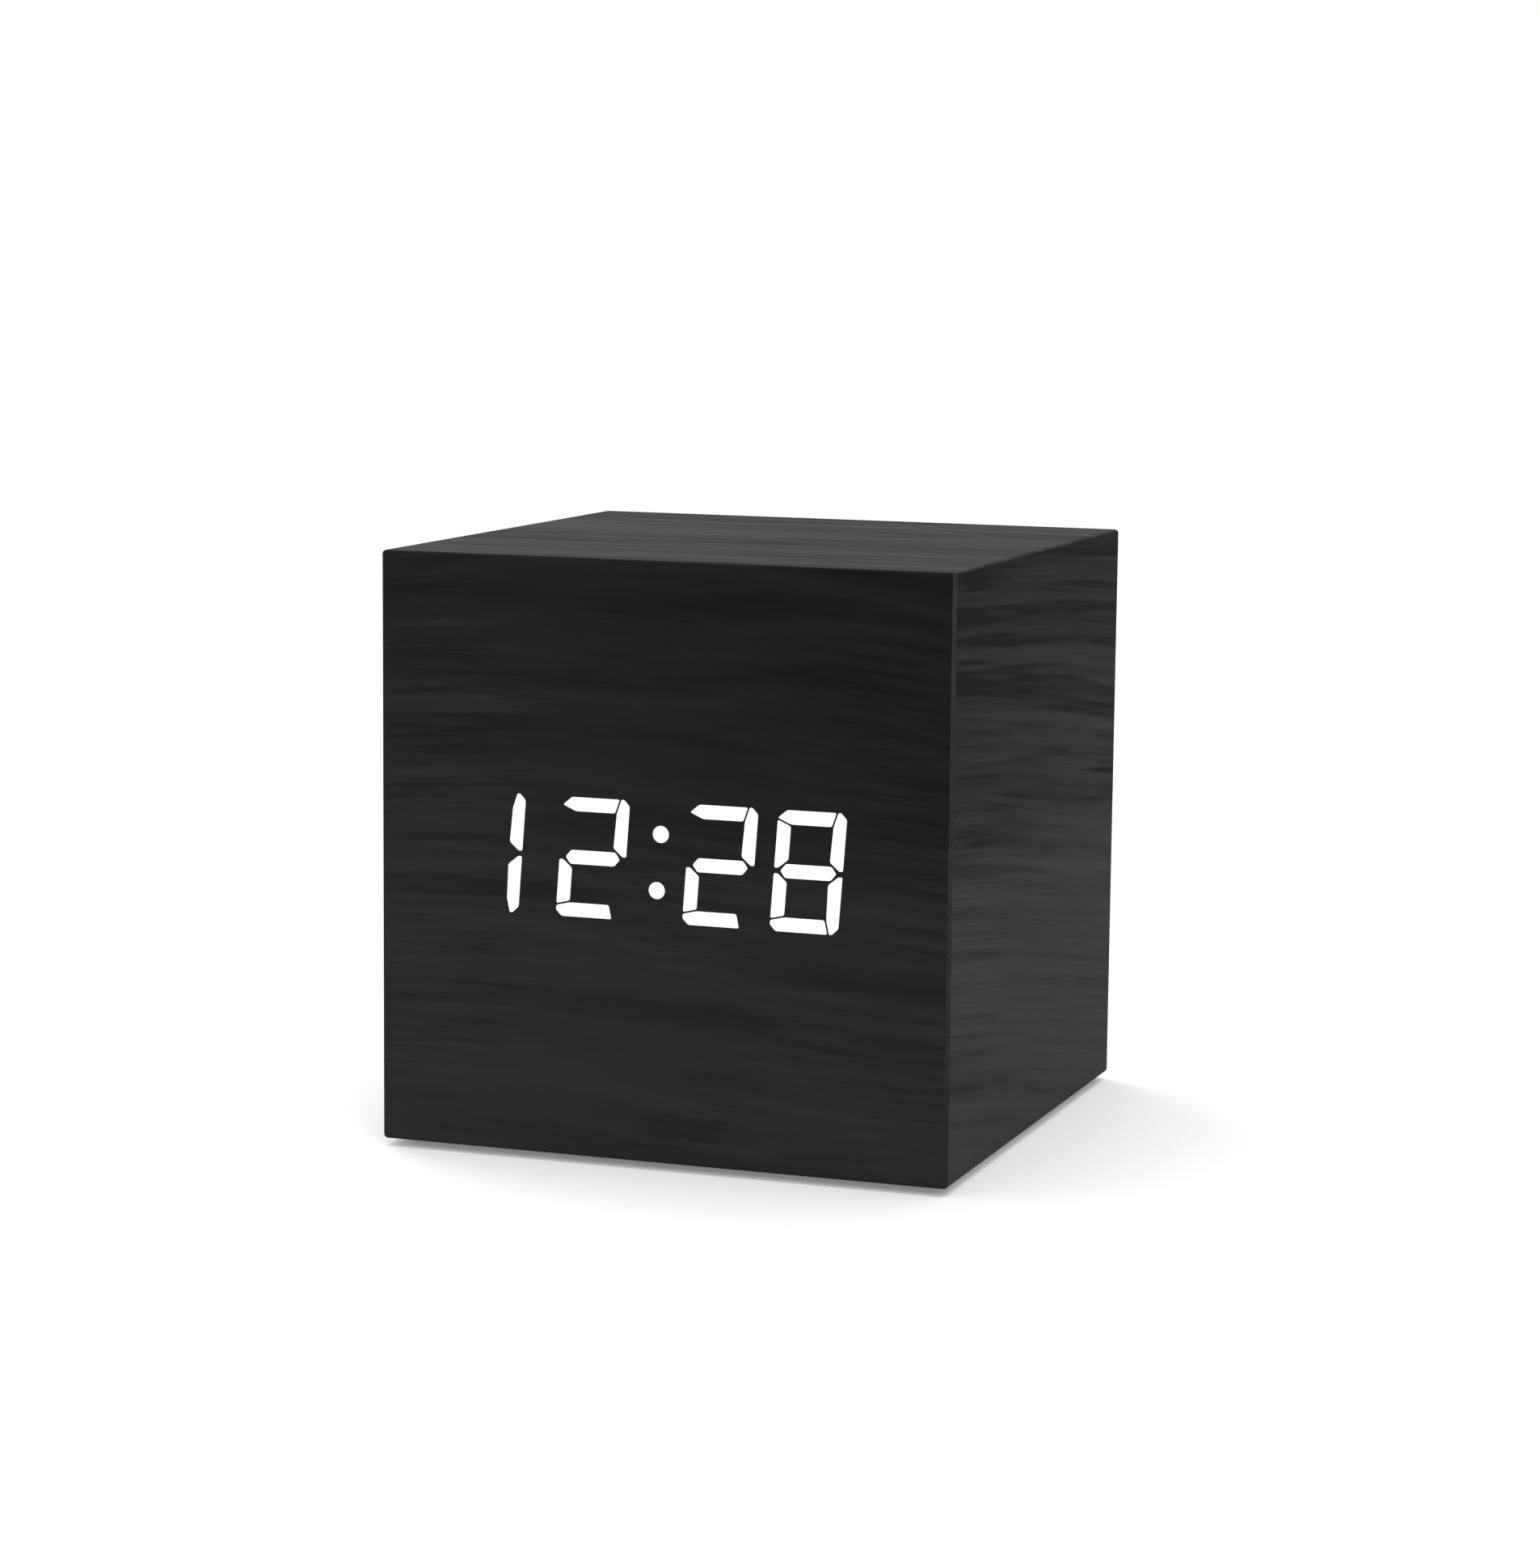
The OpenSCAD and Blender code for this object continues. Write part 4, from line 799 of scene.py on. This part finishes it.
# round strands along a path, side by side
def makeStrandTree():
    sockets = {"Strands": "Int", "Spacing": "Float", "Radius": "Float", "Sides": "Int"}
    tree, given, result = newTree("strandRun", sockets)
    path = shaped("MeshToCurve", {"Mesh": given["Geometry"]})
    strand = tube(path, given["Radius"], given["Sides"])
    row = pointRow(given["Strands"], given["Spacing"])
    strands = smoothed(onPoints(row, strand))
    return closeTree(tree, strands, given["Finish"], result)


# a row of flat contact strips
def makeStripTree():
    sockets = {"Strips": "Int", "Pitch": "Float", "Strip": "Vector", "Middle": "Vector"}
    tree, given, result = newTree("stripRow", sockets)
    row = moved(pointRow(given["Strips"], given["Pitch"]), given["Middle"])
    strip = shaped("MeshCube", {"Size": given["Strip"]})
    return closeTree(tree, onPoints(row, strip), given["Finish"], result)


cornerTree, springTree = makeCornerTree(), makeSpringTree()
strandTree, stripTree = makeStrandTree(), makeStripTree()

# foam pads under the case
footLook = {"edge": 0.15 * mm, "round": 0.3, "inset": 9.0 * mm, "sides": 40, "sharp": 50.0}


def makeFeet():
    low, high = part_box("feet")
    radius = footLook["inset"] - (cadBox[1].x - high.x)
    height, edge = high.z - low.z, footLook["edge"]
    cut = footLook["round"] * edge
    profile = [(0.0, 0.0, 0), (radius - edge, 0.0, 0), (radius - cut, cut, 0), (radius, edge, 0),
               (radius, height, 0), (0.0, height, 0)]
    shape = turnedShape(profile, (0, 0, 0), (0, 0, 1), footLook["sides"])
    pad = addPiece("onePad", shape, [finishes["footFoam"]])
    crease(pad, footLook["sharp"])
    values = {"Piece": pad, "Width": high.x - low.x - 2 * radius,
              "Height": high.y - low.y - 2 * radius, "Finish": finishes["footFoam"]}
    feet = runTree("footPads", cornerTree, values)
    bpy.data.objects.remove(pad)
    return feet


settle(makeFeet(), "case", "foot_pad", "feet")

# pan-head screws in the back panel, with a cross recess
screwLook = {"head": 1.8 * mm, "headHeight": 1.3 * mm, "dome": 0.55, "crown": 0.45, "domeSteps": 6,
             "shank": 0.92 * mm, "tip": 0.3 * mm, "tipLength": 0.5 * mm, "recess": 0.55 * mm,
             "slot": (1.15 * mm, 0.26 * mm), "sides": 32, "sharp": 35.0, "least": 0.001 * mm}


def cutRecess(screw, length):
    cross = bmesh.new()
    long, thin = screwLook["slot"]
    place = Matrix.Translation((0, length, 0))
    for x, z in ((long, thin), (thin, long)):
        size = Matrix.Diagonal((2 * x, 2 * screwLook["recess"], 2 * z, 1))
        bmesh.ops.create_cube(cross, size=1.0, matrix=place @ size)
    cutter = addPiece("crossCutter", cross, [finishes["blackSteel"]])
    cut = screw.modifiers.new("recess", "BOOLEAN")
    cut.object, cut.operation, cut.solver, cut.use_self = cutter, "DIFFERENCE", "EXACT", True
    graph = bpy.context.evaluated_depsgraph_get()
    screw.data = bpy.data.meshes.new_from_object(screw.evaluated_get(graph), depsgraph=graph)
    screw.modifiers.clear()
    bpy.data.objects.remove(cutter)
    whole = bmesh.new()
    whole.from_mesh(screw.data)
    bmesh.ops.dissolve_degenerate(whole, dist=screwLook["least"], edges=whole.edges)
    whole.to_mesh(screw.data)
    whole.free()


def makeScrews():
    low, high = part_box("back_screws")
    head, shank, steps = screwLook["head"], screwLook["shank"], screwLook["domeSteps"]
    length = high.y - low.y
    under = length - screwLook["headHeight"]
    dome = screwLook["dome"] * screwLook["headHeight"]
    crown = screwLook["crown"] * head
    arc = [quarterTurn * k / steps for k in range(1, steps + 1)]
    profile = [(0.0, 0.0, 0), (screwLook["tip"], 0.0, 0), (shank, screwLook["tipLength"], 0),
               (shank, under, 0), (head, under, 0), (head, length - dome, 0)]
    profile += [(head - crown * (1 - math.cos(a)), length - dome + dome * math.sin(a), 0)
                for a in arc]
    profile += [(0.0, length, 0)]
    shape = turnedShape(profile, (0, 0, 0), (0, 1, 0), screwLook["sides"])
    screw = addPiece("oneScrew", shape, [finishes["blackSteel"]])
    cutRecess(screw, length)
    crease(screw, screwLook["sharp"])
    values = {"Piece": screw, "Width": high.x - low.x - 2 * head,
              "Height": high.z - low.z - 2 * head, "Tilt": (quarterTurn, 0, 0),
              "Middle": (0, low.y, (low.z + high.z) / 2), "Finish": finishes["blackSteel"]}
    screws = runTree("panelScrews", cornerTree, values)
    bpy.data.objects.remove(screw)
    return screws


settle(makeScrews(), "case", "black_screw", "back_screws")

# the cells lie one above another, every other one the other way round
cellWays = (1, -1, 1)


def cellRows():
    low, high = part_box("battery_cells")
    radius = (high.y - low.y) / 2
    pitch = (high.z - low.z - 2 * radius) / (len(cellWays) - 1)
    heights = [low.z + radius + number * pitch for number in range(len(cellWays))]
    return low, high, radius, heights


# battery springs, one at the flat end of each cell; their radii as shares of the cell's
springLook = {"Length": 3.2 * mm, "Wire": 0.5 * mm, "Turns": 2.5, "Steps": 40, "Sides": 10}
springShares = {"Base Radius": 0.667, "Tip Radius": 0.42}


def makeSprings():
    low, high, radius, heights = cellRows()
    points = [(low.x if way > 0 else high.x, (low.y + high.y) / 2, z)
              for way, z in zip(cellWays, heights)]
    start = bpy.data.meshes.new("springPoints")
    start.from_pydata(points, [], [])
    ways = start.attributes.new("way", "FLOAT", "POINT")
    ways.data.foreach_set("value", [float(way) for way in cellWays])
    values = {label: share * radius for label, share in springShares.items()}
    values.update(springLook, Finish=finishes["nickelPlate"])
    return runTree("coilSprings", springTree, values, start)


settle(makeSprings(), "case", "contact_steel", "battery_springs")

# dry cells: steel nub and base, gold band at the nub end, plain green jacket, rolled rims;
# nub, foot and base as shares of the cell, and the rims' bends as shares of the rim
cellLook = {"nub": 0.36, "nubLength": 0.8 * mm, "nubTop": 0.85, "nubBend": 0.25, "foot": 0.62,
            "rim": 0.4 * mm, "lip": 0.25 * mm, "seal": 0.05 * mm, "goldBend": (0.3, 0.12),
            "band": 9.0 * mm, "greenEnd": 1.6, "greenBend": (0.25, 0.4), "sink": 0.1 * mm,
            "base": (0.55, 0.5), "sides": 56, "sharp": 35.0}


def makeCells():
    low, high, radius, heights = cellRows()
    look = cellLook
    length = high.x - low.x - springLook["Length"]
    nub, top, rim = look["nub"] * radius, look["nubLength"], look["rim"]
    inside, end = radius - rim - look["lip"], length - look["sink"]
    goldIn, goldDown = (share * rim for share in look["goldBend"])
    greenIn, greenUp = (share * rim for share in look["greenBend"])
    baseOut, baseIn = (share * radius for share in look["base"])
    steel, gold, green, seal = range(4)
    profile = [
        (0.0, 0.0, steel), (look["nubTop"] * nub, 0.0, steel), (nub, look["nubBend"] * top, steel),
        (nub, top, steel), (look["foot"] * radius, top, steel), (inside, top + look["seal"], seal),
        (radius - rim, top, gold), (radius - goldIn, top + goldDown, gold),
        (radius, top + rim, gold), (radius, top + look["band"], gold),
        (radius, length - look["greenEnd"] * rim, green),
        (radius - greenIn, length - greenUp, green), (radius - rim, length, green),
        (inside, end, steel), (baseOut, end, steel), (baseIn, length, steel), (0.0, length, steel),
    ]
    whole = bmesh.new()
    scratch = bpy.data.meshes.new("oneCell")
    for way, z in zip(cellWays, heights):
        middle = (high.x if way > 0 else low.x, (low.y + high.y) / 2, z)
        one = turnedShape(profile, middle, (-way, 0, 0), look["sides"])
        one.to_mesh(scratch)
        one.free()
        whole.from_mesh(scratch)
    bpy.data.meshes.remove(scratch)
    materials = [finishes[name] for name in ("drawnCan", "jacketGold", "jacketGreen", "blackEpoxy")]
    piece = addPiece("dryCells", whole, materials)
    crease(piece, look["sharp"])
    return piece


settle(makeCells(), "case", "cell_jacket", "battery_cells")


# a smooth curve through the points
def smoothRoute(points, steps):
    route = []
    for i in range(len(points) - 1):
        a = points[i - 1] if i else 2 * points[0] - points[1]
        b, c = points[i], points[i + 1]
        d = points[i + 2] if i + 2 < len(points) else 2 * points[-1] - points[-2]
        for k in range(steps):
            t = k / steps
            squared = (2 * a - 5 * b + 4 * c - d) * t ** 2
            cubed = (3 * b - a - 3 * c + d) * t ** 3
            route.append(0.5 * (2 * b + (c - a) * t + squared + cubed))
    return route + [points[-1]]


def polyline(name, points):
    mesh = bpy.data.meshes.new(name)
    edges = [(k, k + 1) for k in range(len(points) - 1)]
    mesh.from_pydata([tuple(p) for p in points], edges, [])
    return mesh


# battery leads along the CAD routes; the bends in mm from the turn above the tray and from the pad
leadLook = {"diameter": 1.1 * mm, "rise": 1.5 * mm, "over": 0.6 * mm, "pad": 0.28, "sides": 14,
            "steps": 7, "turnBends": ((-1.1, -2.2, 1.2), (-3.6, -4.6, 2.0)),
            "padBends": ((6.4, -5.6, -2.6), (2.6, -5.8, -0.8), (0.4, -3.4, 0.0), (0.0, -1.0, 0.0))}


def makeLead(name, node, side, finish):
    tray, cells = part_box("battery_tray"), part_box("battery_cells")
    board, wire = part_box("key_pcb"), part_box(node)
    reach = max(abs(wire[0].x), abs(wire[1].x)) - leadLook["diameter"] / 2
    turn = Vector((reach, (cells[0].y + cells[1].y) / 2, tray[1].z + leadLook["over"]))
    padX = leadLook["pad"] * (board[1].x - board[0].x)
    pad = Vector((padX, board[0].y, (board[0].z + board[1].z) / 2))
    bends = [turn - Vector((0, 0, leadLook["rise"])), turn]
    bends += [turn + Vector(bend) * mm for bend in leadLook["turnBends"]]
    bends += [pad + Vector(bend) * mm for bend in leadLook["padBends"]] + [pad]
    tail = Vector((turn.x, turn.y, wire[0].z))
    path = [tail] + smoothRoute(bends, leadLook["steps"])
    path = [Vector((side * p.x, p.y, p.z)) for p in path]
    values = {"Strands": 1, "Spacing": 0.0, "Radius": leadLook["diameter"] / 2,
              "Sides": leadLook["sides"], "Finish": finishes[finish]}
    return runTree(name, strandTree, values, polyline(name + "Path", path))


settle(makeLead("redLead", "red_wire", 1, "redVinyl"), "case", "red_sleeve", "red_wire")
settle(makeLead("blackLead", "black_wire", -1, "blackVinyl"), "case", "black_sleeve", "black_wire")

# flat cable along the CAD route; its strands are a little wider than their share, and so merge
ribbonLook = {"strands": 12, "merge": 1.06, "sag": 5.0 * mm, "start": 16.0 * mm, "steps": 40,
              "sides": 12}


def makeRibbon():
    low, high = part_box("ribbon_cable")
    width, strands = high.x - low.x, ribbonLook["strands"]
    board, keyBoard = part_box("main_pcb"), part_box("key_pcb")
    startZ = (board[0].z + board[1].z) / 2 + ribbonLook["start"]
    endZ = (keyBoard[0].z + keyBoard[1].z) / 2
    path = []
    for k in range(ribbonLook["steps"] + 1):
        t = k / ribbonLook["steps"]
        eased = 3 * t ** 2 - 2 * t ** 3
        z = startZ + eased * (endZ - startZ) - ribbonLook["sag"] * math.sin(math.pi * t) ** 2
        path.append((0.0, low.y + t * (high.y - low.y), z))
    radius = ribbonLook["merge"] * width / strands / 2
    values = {"Strands": strands, "Spacing": (width - 2 * radius) / (strands - 1), "Radius": radius,
              "Sides": ribbonLook["sides"], "Finish": finishes["ribbonVinyl"]}
    return runTree("flatCable", strandTree, values, polyline("cablePath", path))


settle(makeRibbon(), "case", "ribbon", "ribbon_cable")

# gilt strips on the tongue of the power socket
contactLook = {"strips": 5, "pitch": 0.65 * mm, "wide": 0.36 * mm, "thick": 0.06 * mm,
               "above": 0.35 * mm, "shorter": 2.6 * mm, "back": 0.2 * mm}


def makeContacts():
    low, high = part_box("usb_insert")
    length = high.y - low.y - contactLook["shorter"]
    middle = ((low.x + high.x) / 2, high.y - length / 2 - contactLook["back"],
              (low.z + high.z) / 2 + contactLook["above"])
    values = {"Strips": contactLook["strips"], "Pitch": contactLook["pitch"],
              "Strip": (contactLook["wide"], length, contactLook["thick"]), "Middle": middle,
              "Finish": finishes["goldContact"]}
    return runTree("socketContacts", stripTree, values)


contacts = makeContacts()
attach(contacts, "case")
print("repeated pieces made: pads, screws, springs, cells, leads, cable, contacts")

# floor, light and camera
stage = {"floor": 4.0, "pale": 0.95, "mottle": 0.005, "specks": 40.0, "whitened": 0.18,
         "room": (0.42, 1.0)}
scene = bpy.context.scene
scene.view_settings.view_transform = "Standard"


# 1 for rays that reach the picture straight, by a mirror or through glass, and 0 for the others
def seenRays(tree):
    rays = addNode(tree, "ShaderNodeLightPath").outputs
    bounced = calc("MAXIMUM", rays["Is Glossy Ray"], rays["Is Transmission Ray"])
    return calc("MAXIMUM", rays["Is Camera Ray"], bounced)


# the floor and the room look white without lighting the part more
def makeStage():
    bm = bmesh.new()
    bmesh.ops.create_grid(bm, x_segments=1, y_segments=1, size=stage["floor"])
    material, shader, coords = newFinish("paleFloor", Roughness=0.95, Specular_IOR_Level=0.1,
                                         Emission_Strength=1.0)
    speck = noise(coords, stage["specks"])
    pale = mixColour(speck, grey(stage["pale"] - stage["mottle"]), grey(stage["pale"]))
    whitened = mixColour(seenRays(material.node_tree), grey(0.0), grey(stage["whitened"]))
    feed(shader, Base_Color=pale, Emission_Color=whitened)
    addPiece("paleFloor", bm, [material])
    world = bpy.data.worlds.new("whiteRoom")
    scene.world = world
    world.use_nodes = True
    background = world.node_tree.nodes["Background"].inputs
    background["Color"].default_value = grey(1.0)
    feed(background, Strength=ramp(seenRays(world.node_tree), stage["room"]))


# a broad soft light from above, and weaker ones before and behind
lamps = {
    "sky": {"kind": "SUN", "at": (0.0, 0.0, 2.0), "power": 1.4, "angle": 60.0},
    "before": {"kind": "AREA", "at": (0.32, -0.55, 0.28), "power": 1.7, "size": 0.4},
    "behind": {"kind": "AREA", "at": (-0.5, 0.35, 0.28), "power": 1.7, "size": 0.4},
}


def makeLamps():
    for name, lamp in lamps.items():
        light = bpy.data.lights.new(name, lamp["kind"])
        light.energy = lamp["power"]
        if lamp["kind"] == "SUN":
            light.angle = math.radians(lamp["angle"])
        else:
            light.shape, light.size = "SQUARE", lamp["size"]
        holder = bpy.data.objects.new(name, light)
        scene.collection.objects.link(holder)
        holder.location = lamp["at"]
        holder.rotation_euler = (-Vector(lamp["at"])).to_track_quat("-Z", "Y").to_euler()


# the photograph's view; distance and slide in case widths
cameraLook = {"azimuth": 19.594, "elevation": 7.966, "roll": 0.578, "lens": 94.568, "sensor": 36.0,
              "distance": 7.217, "slide": (-0.012, -0.07), "clip": (0.01, 50.0)}


def makeCamera():
    low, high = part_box("front_film")
    width = high.x - low.x
    middle = Vector((0, 0, (low.z + high.z) / 2))
    angles = (cameraLook["azimuth"], cameraLook["elevation"], cameraLook["roll"])
    azimuth, elevation, roll = (math.radians(angle) for angle in angles)
    away = math.cos(elevation)
    back = Vector((math.sin(azimuth) * away, -math.cos(azimuth) * away, math.sin(elevation)))
    level = Vector((math.cos(azimuth), math.sin(azimuth), 0))
    raised = back.cross(level)
    right = math.cos(roll) * level + math.sin(roll) * raised
    up = math.cos(roll) * raised - math.sin(roll) * level
    slideX, slideY = cameraLook["slide"]
    at = middle + width * (cameraLook["distance"] * back - slideX * right - slideY * up)
    data = bpy.data.cameras.new("photoCamera")
    data.lens, data.sensor_width, data.sensor_fit = cameraLook["lens"], cameraLook["sensor"], "AUTO"
    data.clip_start, data.clip_end = cameraLook["clip"]
    camera = bpy.data.objects.new("photoCamera", data)
    scene.collection.objects.link(camera)
    camera.matrix_world = Matrix.Translation(at) @ Matrix((right, up, back)).transposed().to_4x4()
    scene.camera = camera


makeStage()
makeLamps()
makeCamera()
print("stage, lamps and camera made")
